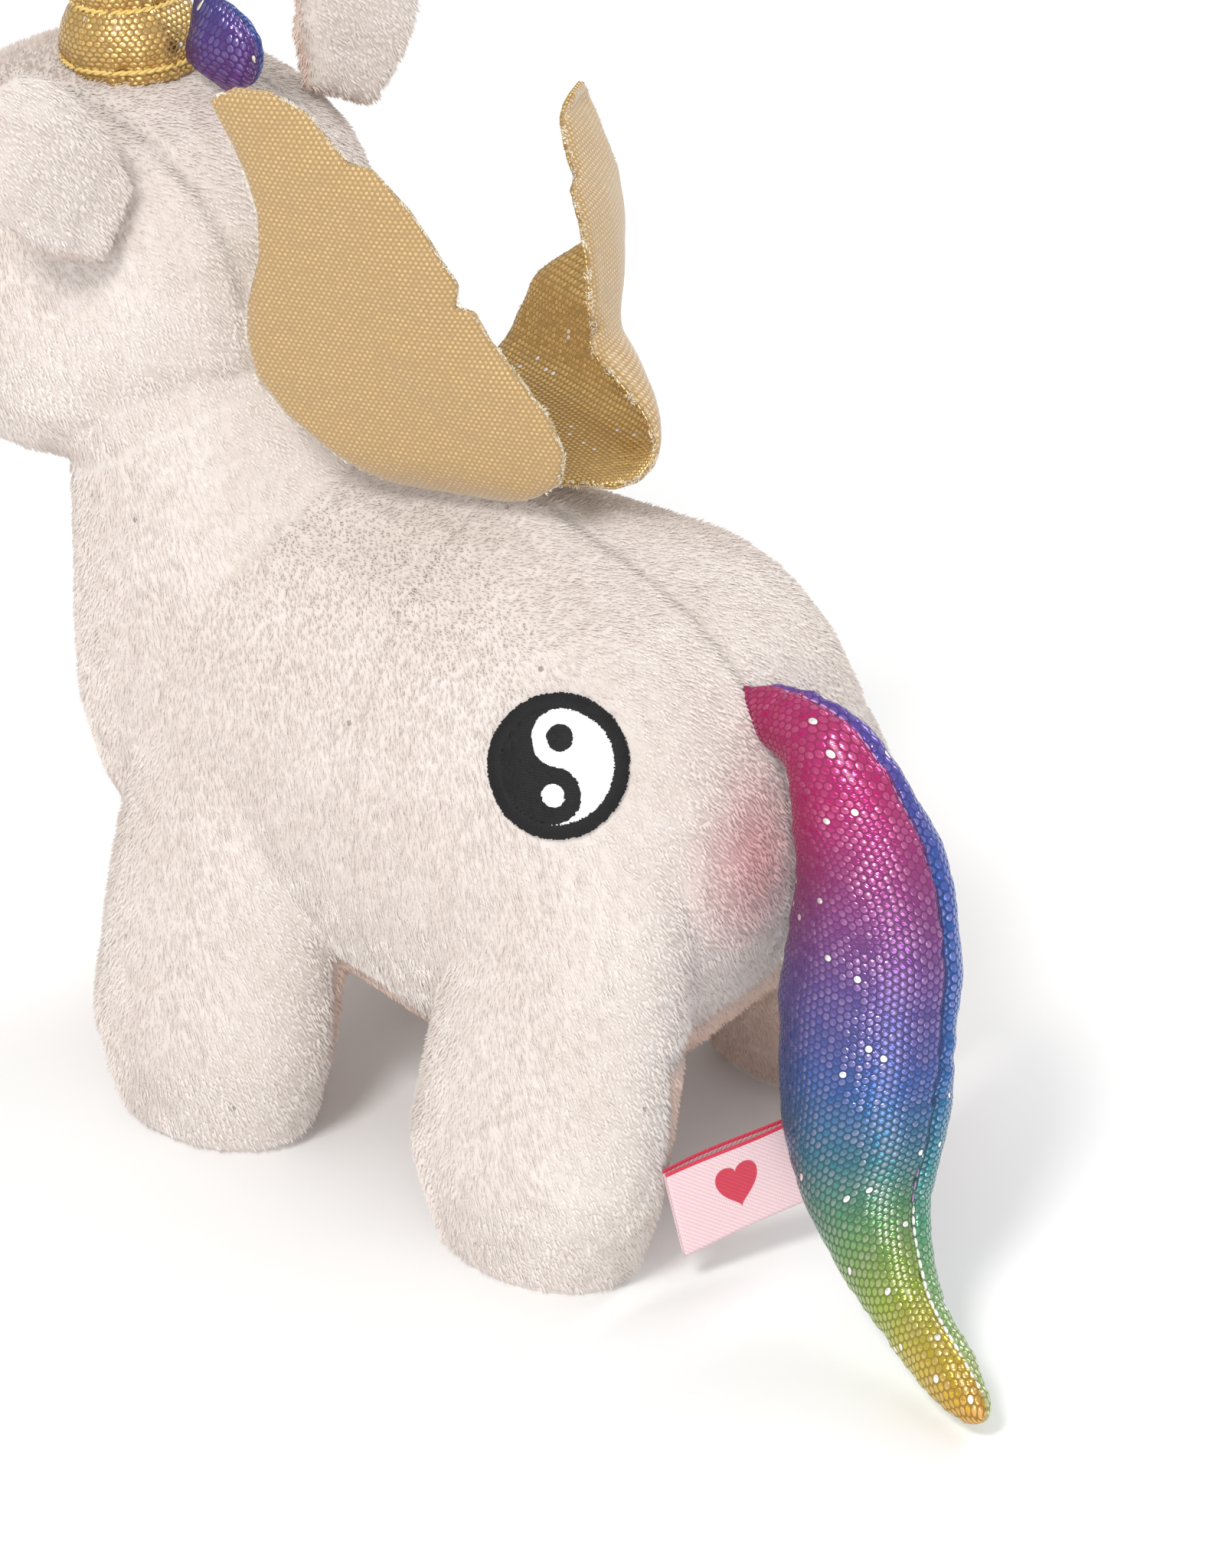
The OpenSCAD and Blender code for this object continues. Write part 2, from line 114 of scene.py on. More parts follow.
def settle(obj):
    bpy.context.view_layer.update()
    shape = bpy.data.meshes.new_from_object(obj.evaluated_get(bpy.context.evaluated_depsgraph_get()))
    old = obj.data
    obj.modifiers.clear()
    obj.data = shape
    bpy.data.meshes.remove(old)


def finishWith(obj, kind, **settings):
    mod = obj.modifiers.new(kind.lower(), kind)
    for key, value in settings.items():
        setattr(mod, key, value)
    settle(obj)


def faceOutward(obj):
    bm = bmesh.new()
    bm.from_mesh(obj.data)
    bmesh.ops.recalc_face_normals(bm, faces=bm.faces)
    bm.to_mesh(obj.data)
    bm.free()


def tubeFaces(rows, around):
    # quads round a tube of rings, with a cap at each end
    faces = []
    for i in range(rows - 1):
        for k in range(around):
            n = (k + 1) % around
            faces.append((i * around + k, i * around + n, (i + 1) * around + n, (i + 1) * around + k))
    faces.append(tuple(range(around - 1, -1, -1)))
    faces.append(tuple((rows - 1) * around + k for k in range(around)))
    return faces


def sheetFaces(n, m):
    # two layers of n by m points, joined round their rim
    faces = []
    for i in range(m - 1):
        for j in range(n - 1):
            a, b, c, d = i * n + j, i * n + j + 1, (i + 1) * n + j + 1, (i + 1) * n + j
            faces.append((a, b, c, d))
            faces.append(tuple(m * n + k for k in (a, d, c, b)))
    rim = list(range(n)) + [i * n + n - 1 for i in range(1, m)]
    rim += [(m - 1) * n + j for j in range(n - 2, -1, -1)] + [i * n for i in range(m - 2, 0, -1)]
    for a, b in zip(rim, rim[1:] + rim[:1]):
        faces.append((a, b, m * n + b, m * n + a))
    return faces


def joinedCopy(name, nodeNames):
    bm = bmesh.new()
    for n in nodeNames:
        bm.from_mesh(cad[n].data)
    bmesh.ops.remove_doubles(bm, verts=bm.verts, dist=1e-6)
    mesh = bpy.data.meshes.new(name)
    bm.to_mesh(mesh)
    bm.free()
    obj = bpy.data.objects.new(name, mesh)
    scene.collection.objects.link(obj)
    return obj


def treeOf(obj):
    mesh = obj.data
    return BVHTree.FromPolygons([v.co for v in mesh.vertices], [list(p.vertices) for p in mesh.polygons])


def swell(obj, pressure, cap):
    # a short cloth run with air inside, with each point's movement capped
    start = coordsOf(obj)
    cloth = obj.modifiers.new("swell", "CLOTH")
    cloth.settings.use_pressure = True
    cloth.settings.uniform_pressure_force = pressure
    cloth.settings.effector_weights.gravity = 0
    cloth.point_cache.frame_start, cloth.point_cache.frame_end = 1, 20
    for f in range(1, 21):
        scene.frame_set(f)
    settle(obj)
    scene.frame_set(1)
    move = coordsOf(obj) - start
    size = np.linalg.norm(move, axis=1, keepdims=True)
    placeCoords(obj, start + move * np.minimum(1, cap / np.maximum(size, 1e-9)))


def smoothStep(x):
    x = np.clip(x, 0, 1)
    return x * x * (3 - 2 * x)


def hill(x, width):
    return np.exp(-(np.asarray(x) / width) ** 2)


def fieldNoise(co, size, seed=0):
    return np.array([noise.noise(Vector(p) / size + Vector((seed * 7.3, seed * 3.1, seed * 5.7))) for p in co])


def lookup(x, table):
    return float(np.interp(x, [p[0] for p in table], [p[1] for p in table]))


def easedLookup(x, table):
    return sum(lookup(x + shift, table) for shift in (-4, -2.5, -1, 0, 1, 2.5, 4)) / 7


def glide(points, steps):
    pts = [np.array(p, float) for p in points]
    out = []
    for i in range(len(pts) - 1):
        a, b, c, d = pts[max(i - 1, 0)], pts[i], pts[i + 1], pts[min(i + 2, len(pts) - 1)]
        for k in range(steps):
            t = k / steps
            square, cube = 2 * a - 5 * b + 4 * c - d, 3 * b - a - 3 * c + d
            out.append(0.5 * (2 * b + (c - a) * t + square * t * t + cube * t ** 3))
    out.append(pts[-1])
    return np.array(out)


# small helpers for node trees
def feed(tree, source, target):
    tree.links.new(source, target)


def mathNode(tree, operation, a, b=None, c=None):
    node = tree.nodes.new("ShaderNodeMath")
    node.operation = operation
    for i, value in enumerate((a, b, c)):
        if value is None:
            continue
        if isinstance(value, (int, float)):
            node.inputs[i].default_value = value
        else:
            tree.links.new(value, node.inputs[i])
    return node.outputs[0]


def vectorNode(tree, operation, a, b=None, scale=None):
    node = tree.nodes.new("ShaderNodeVectorMath")
    node.operation = operation
    for i, value in enumerate((a, b)):
        if value is None:
            continue
        if isinstance(value, (tuple, list)):
            node.inputs[i].default_value = value
        else:
            tree.links.new(value, node.inputs[i])
    if scale is not None:
        if isinstance(scale, (int, float)):
            node.inputs["Scale"].default_value = scale
        else:
            tree.links.new(scale, node.inputs["Scale"])
    return node.outputs["Value"] if operation in ("LENGTH", "DISTANCE", "DOT_PRODUCT") else node.outputs[0]


def mixColours(tree, factor, a, b, blend="MIX"):
    node = tree.nodes.new("ShaderNodeMix")
    node.data_type, node.blend_type = "RGBA", blend
    for socket, value in ((node.inputs[0], factor), (node.inputs[6], a), (node.inputs[7], b)):
        if isinstance(value, (int, float)):
            socket.default_value = value
        elif isinstance(value, (tuple, list)):
            socket.default_value = (*value[:3], 1)
        else:
            tree.links.new(value, socket)
    return node.outputs[2]


def newGroup(name, inputs, outputs):
    group = bpy.data.node_groups.new(name, "ShaderNodeTree")
    for label, kind, value in inputs:
        socket = group.interface.new_socket(label, in_out="INPUT", socket_type=kind)
        if value is not None:
            socket.default_value = value
    for label, kind in outputs:
        group.interface.new_socket(label, in_out="OUTPUT", socket_type=kind)
    return group, group.nodes.new("NodeGroupInput"), group.nodes.new("NodeGroupOutput")


def makeFoilDots():
    # hexagonal rows of foil dots: a mask, a dome height and a random value for each dot
    g, gin, gout = newGroup("foilDots", [
        ("Place", "NodeSocketVector", None), ("Pitch", "NodeSocketFloat", 1.3),
        ("Dot", "NodeSocketFloat", 0.42), ("Soft", "NodeSocketFloat", 0.06),
    ], [("Mask", "NodeSocketFloat"), ("Height", "NodeSocketFloat"), ("Random", "NodeSocketFloat")])
    cell = g.nodes.new("ShaderNodeCombineXYZ")
    feed(g, gin.outputs["Pitch"], cell.inputs[0])
    feed(g, mathNode(g, "MULTIPLY", gin.outputs["Pitch"], math.sqrt(3)), cell.inputs[1])
    cell.inputs[2].default_value = 1
    scaled = vectorNode(g, "DIVIDE", gin.outputs["Place"], cell.outputs[0])
    flat = vectorNode(g, "MULTIPLY", scaled, (1, 1, 0))
    branches = []
    for shift in ((0, 0, 0), (0.5, 0.5, 0)):
        moved = vectorNode(g, "ADD", flat, shift)
        corner = vectorNode(g, "FLOOR", moved)
        local = vectorNode(g, "SUBTRACT", vectorNode(g, "SUBTRACT", moved, corner), (0.5, 0.5, 0))
        size = vectorNode(g, "LENGTH", vectorNode(g, "MULTIPLY", local, (1, math.sqrt(3), 0)))
        name = vectorNode(g, "ADD", corner, tuple(9.7 * s for s in shift))
        branches.append((size, name))
    nearest = mathNode(g, "MINIMUM", branches[0][0], branches[1][0])
    first = mathNode(g, "LESS_THAN", branches[0][0], branches[1][0])
    which = g.nodes.new("ShaderNodeMix")
    which.data_type = "VECTOR"
    feed(g, first, which.inputs[0])
    feed(g, branches[1][1], which.inputs[4])
    feed(g, branches[0][1], which.inputs[5])
    white = g.nodes.new("ShaderNodeTexWhiteNoise")
    feed(g, which.outputs[1], white.inputs["Vector"])
    edge = mathNode(g, "SUBTRACT", gin.outputs["Dot"], nearest)
    mask = mathNode(g, "DIVIDE", edge, gin.outputs["Soft"])
    mask.node.use_clamp = True
    dome = mathNode(g, "DIVIDE", nearest, gin.outputs["Dot"])
    dome = mathNode(g, "SUBTRACT", 1, mathNode(g, "MULTIPLY", dome, dome))
    dome.node.use_clamp = True
    feed(g, mask, gout.inputs["Mask"])
    feed(g, dome, gout.inputs["Height"])
    feed(g, white.outputs["Value"], gout.inputs["Random"])
    return g


def makeWeave():
    # twill: slanting ribs crossed by fine threads
    g, gin, gout = newGroup("clothWeave", [
        ("Place", "NodeSocketVector", None), ("Threads", "NodeSocketFloat", 2.6),
    ], [("Height", "NodeSocketFloat")])
    place = vectorNode(g, "SCALE", gin.outputs["Place"], scale=gin.outputs["Threads"])
    parts = g.nodes.new("ShaderNodeSeparateXYZ")
    feed(g, place, parts.inputs[0])
    turn = 2 * math.pi
    slant = mathNode(g, "ADD", parts.outputs[0], parts.outputs[1])
    rib = mathNode(g, "SINE", mathNode(g, "MULTIPLY", slant, turn / 2))
    cross = mathNode(g, "SINE", mathNode(g, "MULTIPLY", parts.outputs[0], turn))
    height = mathNode(g, "ADD", mathNode(g, "MULTIPLY", rib, 0.35), mathNode(g, "MULTIPLY", cross, 0.15))
    feed(g, mathNode(g, "ADD", height, 0.5), gout.inputs["Height"])
    return g


def makeMottle():
    # slow and fine tone changes of a brushed pile, with a mask for a few specks
    g, gin, gout = newGroup("pileTone", [
        ("Place", "NodeSocketVector", None), ("Light", "NodeSocketColor", (0.9, 0.9, 0.9, 1)),
        ("Shade", "NodeSocketColor", (0.7, 0.6, 0.5, 1)),
    ], [("Colour", "NodeSocketColor"), ("Height", "NodeSocketFloat"), ("Specks", "NodeSocketFloat")])
    sizes = {"slow": 70.0, "clump": 420.0, "fibre": 2600.0}
    made = {}
    for key, size in sizes.items():
        tex = g.nodes.new("ShaderNodeTexNoise")
        tex.inputs["Scale"].default_value = size
        tex.inputs["Detail"].default_value = 3
        feed(g, gin.outputs["Place"], tex.inputs["Vector"])
        made[key] = tex.outputs["Fac"]
    slowHalf = mathNode(g, "MULTIPLY", made["slow"], 0.5)
    mix = mathNode(g, "ADD", slowHalf, mathNode(g, "MULTIPLY", made["clump"], 0.5))
    tone = mathNode(g, "MULTIPLY", mathNode(g, "SUBTRACT", mix, 0.30), 2.6)
    tone.node.use_clamp = True
    clumps = mathNode(g, "MULTIPLY", made["clump"], 0.7)
    height = mathNode(g, "ADD", clumps, mathNode(g, "MULTIPLY", made["fibre"], 0.3))
    dots = g.nodes.new("ShaderNodeTexVoronoi")
    dots.inputs["Scale"].default_value = 190
    feed(g, gin.outputs["Place"], dots.inputs["Vector"])
    parts = g.nodes.new("ShaderNodeSeparateColor")
    feed(g, dots.outputs["Color"], parts.inputs[0])
    near = mathNode(g, "LESS_THAN", dots.outputs["Distance"], 0.09)
    rare = mathNode(g, "GREATER_THAN", parts.outputs[0], 0.93)
    feed(g, mixColours(g, tone, gin.outputs["Shade"], gin.outputs["Light"]), gout.inputs["Colour"])
    feed(g, height, gout.inputs["Height"])
    feed(g, mathNode(g, "MULTIPLY", near, rare), gout.inputs["Specks"])
    return g


foilDots, clothWeave, pileTone = makeFoilDots(), makeWeave(), makeMottle()


def placeGroup(tree, group, **values):
    node = tree.nodes.new("ShaderNodeGroup")
    node.node_tree = group
    for key, value in values.items():
        if isinstance(value, bpy.types.NodeSocket):
            tree.links.new(value, node.inputs[key])
        elif isinstance(value, (tuple, list)):
            isColour = len(node.inputs[key].default_value) == 4
            node.inputs[key].default_value = (*value[:3], 1) if isColour else value
        else:
            node.inputs[key].default_value = value
    return node


def newMaterial(name, roughness=0.8, metallic=0.0, sheen=0.0, coat=0.0):
    mat = bpy.data.materials.new(name)
    mat.use_nodes = True
    tree = mat.node_tree
    shader = tree.nodes["Principled BSDF"]
    shader.inputs["Roughness"].default_value = roughness
    shader.inputs["Metallic"].default_value = metallic
    shader.inputs["Sheen Weight"].default_value = sheen
    shader.inputs["Sheen Roughness"].default_value = 0.45
    shader.inputs["Coat Weight"].default_value = coat
    return mat, tree, shader


def objectPlace(tree):
    return tree.nodes.new("ShaderNodeTexCoord").outputs["Object"]


def bumpInto(tree, shader, height, strength, distance):
    bump = tree.nodes.new("ShaderNodeBump")
    bump.inputs["Strength"].default_value = strength
    bump.inputs["Distance"].default_value = distance
    feed(tree, height, bump.inputs["Height"])
    feed(tree, bump.outputs[0], shader.inputs["Normal"])


def attributeOf(tree, name):
    node = tree.nodes.new("ShaderNodeAttribute")
    node.attribute_name = name
    return node


plushLook = {
    "light": (0.735, 0.675, 0.64), "shade": (0.655, 0.585, 0.54), "peach": (0.74, 0.55, 0.46),
    "paintedReflection": (0.66, 0.26, 0.29), "paintedReflectionAt": (0.009, 0.057, 0.065), "paintedReflectionSize": 0.0165,
    "speck": (0.16, 0.13, 0.12), "speckShare": 0.6, "peachShare": 0.75, "paintedReflectionShare": 0.75,
    "seamShadeShare": 0.35, "seamShadeFactor": 0.62,
}


def makePlush(name, look, bump):
    mat, tree, shader = newMaterial(name, roughness=0.9, sheen=0.35)
    place = objectPlace(tree)
    tone = placeGroup(tree, pileTone, Place=place, Light=look["light"], Shade=look["shade"])
    colour = tone.outputs["Colour"]
    peach = mathNode(tree, "MULTIPLY", attributeOf(tree, "peach").outputs["Fac"], look["peachShare"])
    colour = mixColours(tree, peach, colour, look["peach"])
    # painted reflection: a pink tint on the rump beside the tail root stands in for light thrown back by the
    # tail's foil
    far = vectorNode(tree, "DISTANCE", place, look["paintedReflectionAt"])
    near = mathNode(tree, "SUBTRACT", 1, mathNode(tree, "DIVIDE", far, look["paintedReflectionSize"]))
    near.node.use_clamp = True
    paintedReflection = mathNode(tree, "MULTIPLY", near, look["paintedReflectionShare"])
    colour = mixColours(tree, paintedReflection, colour, look["paintedReflection"])
    # painted shade: near a seam, where the skin dips in, the colour is darkened towards a deeper shade tone
    seamShade = mathNode(tree, "MULTIPLY", attributeOf(tree, "seam").outputs["Fac"], look["seamShadeShare"])
    colour = mixColours(tree, seamShade, colour, tuple(look["seamShadeFactor"] * c for c in look["shade"]))
    specks = mathNode(tree, "MULTIPLY", tone.outputs["Specks"], look["speckShare"])
    colour = mixColours(tree, specks, colour, look["speck"])
    feed(tree, colour, shader.inputs["Base Color"])
    bumpInto(tree, shader, tone.outputs["Height"], bump, 0.0008)
    return mat


def makeFoil(name, base, dot, pitch, dotSize, baseRough=0.75, dotRough=0.24, colourName=None,
             lift=0.5, paintedGlint=0.985, metal=0.85, sheen=0.0):
    mat, tree, shader = newMaterial(name, roughness=baseRough, sheen=sheen, coat=0.15)
    uv = tree.nodes.new("ShaderNodeUVMap")
    uv.uv_map = "cloth"
    dots = placeGroup(tree, foilDots, Place=uv.outputs[0], Pitch=pitch, Dot=dotSize)
    weave = placeGroup(tree, clothWeave, Place=uv.outputs[0], Threads=3.2)
    if colourName:
        painted = attributeOf(tree, colourName).outputs["Color"]
        ground = mixColours(tree, 1.0, painted, base, "MULTIPLY")
        paler = mathNode(tree, "MULTIPLY_ADD", dots.outputs["Random"], 0.16, 0.02)
        shine = mixColours(tree, paler, painted, dot)
    else:
        ground = base
        shine = mixColours(tree, dots.outputs["Random"], tuple(0.72 * c for c in dot), dot)
    # painted glint: foil dots past this random cut are coloured near white to stand in for sparkle highlights
    paintedGlint = mathNode(tree, "GREATER_THAN", dots.outputs["Random"], paintedGlint)
    shine = mixColours(tree, paintedGlint, shine, (1, 0.97, 0.93))
    feed(tree, mixColours(tree, dots.outputs["Mask"], ground, shine), shader.inputs["Base Color"])
    feed(tree, mathNode(tree, "MULTIPLY", dots.outputs["Mask"], metal), shader.inputs["Metallic"])
    rough = mathNode(tree, "MULTIPLY_ADD", dots.outputs["Mask"], dotRough - baseRough, baseRough)
    feed(tree, mathNode(tree, "MULTIPLY_ADD", dots.outputs["Random"], 0.14, rough), shader.inputs["Roughness"])
    tilt = mathNode(tree, "MULTIPLY_ADD", dots.outputs["Random"], 0.8, 0.5)
    tilt = mathNode(tree, "MULTIPLY", dots.outputs["Height"], tilt)
    height = mathNode(tree, "MULTIPLY_ADD", weave.outputs["Height"], 0.25, tilt)
    bumpInto(tree, shader, height, lift, 0.00018)
    return mat


def makeThread(name, colour, roughness=0.5, sheen=0.3, wrap=5200, specular=0.5):
    mat, tree, shader = newMaterial(name, roughness=roughness, sheen=sheen)
    shader.inputs["Specular IOR Level"].default_value = specular
    place = objectPlace(tree)
    fine = tree.nodes.new("ShaderNodeTexNoise")
    fine.inputs["Scale"].default_value = wrap
    feed(tree, place, fine.inputs["Vector"])
    darker, paler = tuple(0.7 * c for c in colour), tuple(min(1, 1.25 * c + 0.01) for c in colour)
    feed(tree, mixColours(tree, fine.outputs["Fac"], darker, paler), shader.inputs["Base Color"])
    bumpInto(tree, shader, fine.outputs["Fac"], 0.6, 0.0001)
    return mat


def makeEyeGloss():
    mat, tree, shader = newMaterial("eyeGloss", roughness=0.07, coat=1.0)
    place = objectPlace(tree)
    fine = tree.nodes.new("ShaderNodeTexNoise")
    fine.inputs["Scale"].default_value = 900
    feed(tree, place, fine.inputs["Vector"])
    brown = mixColours(tree, fine.outputs["Fac"], (0.008, 0.006, 0.006), (0.022, 0.016, 0.014))
    feed(tree, brown, shader.inputs["Base Color"])
    feed(tree, mathNode(tree, "MULTIPLY_ADD", fine.outputs["Fac"], 0.06, 0.05), shader.inputs["Roughness"])
    return mat


plush = makePlush("plushSkin", plushLook, 0.7)
pileLook = {**plushLook, "light": (0.775, 0.715, 0.68), "shade": (0.71, 0.64, 0.595)}
pilePlush = makePlush("plushPile", pileLook, 0.2)
goldFoil = makeFoil("goldFoil", (0.30, 0.165, 0.04), (0.84, 0.58, 0.22), 0.95, 0.41, dotRough=0.2, metal=0.95)
twillGold = makeFoil("wingTwill", (0.37, 0.235, 0.10), (0.70, 0.485, 0.22), 0.84, 0.33, 0.8, 0.4,
                     paintedGlint=2.0, metal=0.4, sheen=0.5)
rainbowFoil = makeFoil("rainbowFoil", (0.40, 0.38, 0.40), (0.95, 0.62, 0.80), 1.3, 0.42,
                       colourName="tailColour", dotRough=0.15, metal=0.9)
maneFoil = makeFoil("maneFoil", (0.35, 0.35, 0.45), (0.55, 0.60, 1.0), 1.2, 0.42,
                    colourName="tailColour", dotRough=0.15, metal=0.9)
blackThread = makeThread("blackThread", (0.005, 0.005, 0.006), 0.55, 0.0, specular=0.22)
whiteThread = makeThread("whiteThread", (0.84, 0.83, 0.80), 0.45)
goldThread = makeThread("goldThread", (0.78, 0.56, 0.16))
violetThread = makeThread("violetThread", (0.55, 0.30, 0.60))
paleFray = makeThread("paleFray", (0.86, 0.78, 0.66), 0.9)
eyeGloss = makeEyeGloss()
print("materials built")


# trees for what repeats: tufts of pile and stitches
def newGeometryTree(name, sockets):
    tree = bpy.data.node_groups.new(name, "GeometryNodeTree")
    tree.interface.new_socket("Geometry", in_out="INPUT", socket_type="NodeSocketGeometry")
    for label, kind, value in sockets:
        socket = tree.interface.new_socket(label, in_out="INPUT", socket_type=kind)
        if value is not None:
            socket.default_value = value
    tree.interface.new_socket("Geometry", in_out="OUTPUT", socket_type="NodeSocketGeometry")
    return tree, tree.nodes.new("NodeGroupInput"), tree.nodes.new("NodeGroupOutput")


def placeCopies(t, gin, gout, points, shape, way, size):
    # the last steps of both trees: a copy of the shape stands on each point, its z axis along the way
    turn = t.nodes.new("FunctionNodeAlignRotationToVector")
    turn.axis = "Z"
    feed(t, way, turn.inputs["Vector"])
    put = t.nodes.new("GeometryNodeInstanceOnPoints")
    feed(t, points, put.inputs["Points"])
    feed(t, shape.outputs["Mesh"], put.inputs["Instance"])
    feed(t, turn.outputs["Rotation"], put.inputs["Rotation"])
    feed(t, size, put.inputs["Scale"])
    real = t.nodes.new("GeometryNodeRealizeInstances")
    feed(t, put.outputs[0], real.inputs[0])
    dress = t.nodes.new("GeometryNodeSetMaterial")
    feed(t, real.outputs[0], dress.inputs["Geometry"])
    feed(t, gin.outputs["Finish"], dress.inputs["Material"])
    feed(t, dress.outputs[0], gout.inputs[0])


def makePileTree():
    t, gin, gout = newGeometryTree("pileTufts", [
        ("Density", "NodeSocketFloat", 1.0e6), ("Length", "NodeSocketFloat", 0.002),
        ("Width", "NodeSocketFloat", 0.0003), ("Upright", "NodeSocketFloat", 0.5),
        ("Mess", "NodeSocketFloat", 1.2), ("Lay", "NodeSocketVector", (0, 0.8, -0.75)),
        ("Seed", "NodeSocketInt", 3), ("Finish", "NodeSocketMaterial", None),
    ])
    spread = t.nodes.new("GeometryNodeDistributePointsOnFaces")
    feed(t, gin.outputs["Geometry"], spread.inputs["Mesh"])
    feed(t, gin.outputs["Density"], spread.inputs["Density"])
    feed(t, gin.outputs["Seed"], spread.inputs["Seed"])
    wild = t.nodes.new("ShaderNodeTexNoise")
    wild.inputs["Scale"].default_value = 330
    feed(t, t.nodes.new("GeometryNodeInputPosition").outputs[0], wild.inputs["Vector"])
    centred = vectorNode(t, "SUBTRACT", wild.outputs["Color"], (0.5, 0.5, 0.5))
    shake = vectorNode(t, "SCALE", centred, scale=gin.outputs["Mess"])
    up = vectorNode(t, "SCALE", spread.outputs["Normal"], scale=gin.outputs["Upright"])
    along = vectorNode(t, "DOT_PRODUCT", gin.outputs["Lay"], spread.outputs["Normal"])
    lift = vectorNode(t, "SCALE", spread.outputs["Normal"], scale=along)
    tangent = vectorNode(t, "SUBTRACT", gin.outputs["Lay"], lift)
    way = vectorNode(t, "ADD", vectorNode(t, "ADD", up, tangent), shake)
    cone = t.nodes.new("GeometryNodeMeshCone")
    cone.fill_type = "NONE"
    cone.inputs["Vertices"].default_value = 3
    cone.inputs["Radius Top"].default_value = 0
    feed(t, gin.outputs["Width"], cone.inputs["Radius Bottom"])
    feed(t, gin.outputs["Length"], cone.inputs["Depth"])
    size = t.nodes.new("FunctionNodeRandomValue")
    size.data_type = "FLOAT"
    size.inputs[2].default_value, size.inputs[3].default_value = 0.6, 1.15
    feed(t, gin.outputs["Seed"], size.inputs["Seed"])
    placeCopies(t, gin, gout, spread.outputs["Points"], cone, way, size.outputs[1])
    return t


def makeStitchTree():
    t, gin, gout = newGeometryTree("stitchRow", [
        ("Pitch", "NodeSocketFloat", 0.0025), ("Length", "NodeSocketFloat", 0.0018),
        ("Radius", "NodeSocketFloat", 0.00025), ("Finish", "NodeSocketMaterial", None),
    ])
    curve = t.nodes.new("GeometryNodeMeshToCurve")
    feed(t, gin.outputs["Geometry"], curve.inputs[0])
    spaced = t.nodes.new("GeometryNodeResampleCurve")
    spaced.mode = "LENGTH"
    feed(t, curve.outputs[0], spaced.inputs["Curve"])
    feed(t, gin.outputs["Pitch"], spaced.inputs["Length"])
    ball = t.nodes.new("GeometryNodeMeshUVSphere")
    ball.inputs["Segments"].default_value = 6
    ball.inputs["Rings"].default_value = 5
    feed(t, gin.outputs["Radius"], ball.inputs["Radius"])
    stretch = t.nodes.new("ShaderNodeCombineXYZ")
    stretch.inputs[0].default_value = stretch.inputs[1].default_value = 1
    half = mathNode(t, "MULTIPLY", gin.outputs["Length"], 0.5)
    feed(t, mathNode(t, "DIVIDE", half, gin.outputs["Radius"]), stretch.inputs[2])
    tangent = t.nodes.new("GeometryNodeInputTangent").outputs[0]
    placeCopies(t, gin, gout, spaced.outputs[0], ball, tangent, stretch.outputs[0])
    return t


pileTufts, stitchRow = makePileTree(), makeStitchTree()


def grown(name, base, tree, values, finish, smooth=False):
    # runs a tree on the base mesh and keeps the result as a plain piece
    obj = bpy.data.objects.new(name, base.data)
    scene.collection.objects.link(obj)
    mod = obj.modifiers.new("grow", "NODES")
    mod.node_group = tree
    names = {s.name: s.identifier for s in tree.interface.items_tree if s.in_out == "INPUT"}
    for key, value in {**values, "Finish": finish}.items():
        mod[names[key]] = value
    bpy.context.view_layer.update()
    shape = bpy.data.meshes.new_from_object(obj.evaluated_get(bpy.context.evaluated_depsgraph_get()))
    obj.modifiers.clear()
    obj.data = shape
    shape.polygons.foreach_set("use_smooth", [smooth] * len(shape.polygons))
    if not shape.materials:
        shape.materials.append(finish)
    return obj


def stitches(name, points, finish, body, slotName, pitch=2.5, length=1.8, radius=0.25):
    path = newPiece(name + "Path", points, [])
    bm = bmesh.new()
    bm.from_mesh(path.data)
    bm.verts.ensure_lookup_table()
    for i in range(len(bm.verts) - 1):
        bm.edges.new((bm.verts[i], bm.verts[i + 1]))
    bm.to_mesh(path.data)
    bm.free()
    sizes = {"Pitch": pitch * mm, "Length": length * mm, "Radius": radius * mm}
    row = grown(name, path, stitchRow, sizes, finish, True)
    bpy.data.objects.remove(path)
    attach(row, body)
    return row


def partOf(name, obj, keep):
    # a loose copy of the faces whose vertices all pass keep
    bm = bmesh.new()
    bm.from_mesh(obj.data)
    drop = [v for v in bm.verts if not keep[v.index]]
    bmesh.ops.delete(bm, geom=drop, context="VERTS")
    mesh = bpy.data.meshes.new(name)
    bm.to_mesh(mesh)
    bm.free()
    part = bpy.data.objects.new(name, mesh)
    scene.collection.objects.link(part)
    return part


# body, legs and head are one stuffed piece
figureSetup = {
    "voxel": 4.0, "pressure": 4.0, "cap": 2.6, "skin": 1.35, "smooth": 8,
    "seamDepth": 0.55, "seamWidth": 1.1, "gussetX": 30.0, "gussetZ": 37.0,
    "browX": 15.0, "browZ": 134.0, "neckAt": (0, -58.5, 104.0), "neckTilt": 32.0,
    "pucker": 0.28, "clumps": 0.10, "rearClumps": 0.16, "dents": 0.7,
}
figureNodes = [
    "body_filling", "leg_filling_front_left", "leg_filling_front_right",
    "leg_filling_hind_left", "leg_filling_hind_right", "head_filling",
]
skinNodes = ["body_side_left", "body_side_right", "belly_gusset",
             "head_side_left", "head_side_right", "head_gusset"]


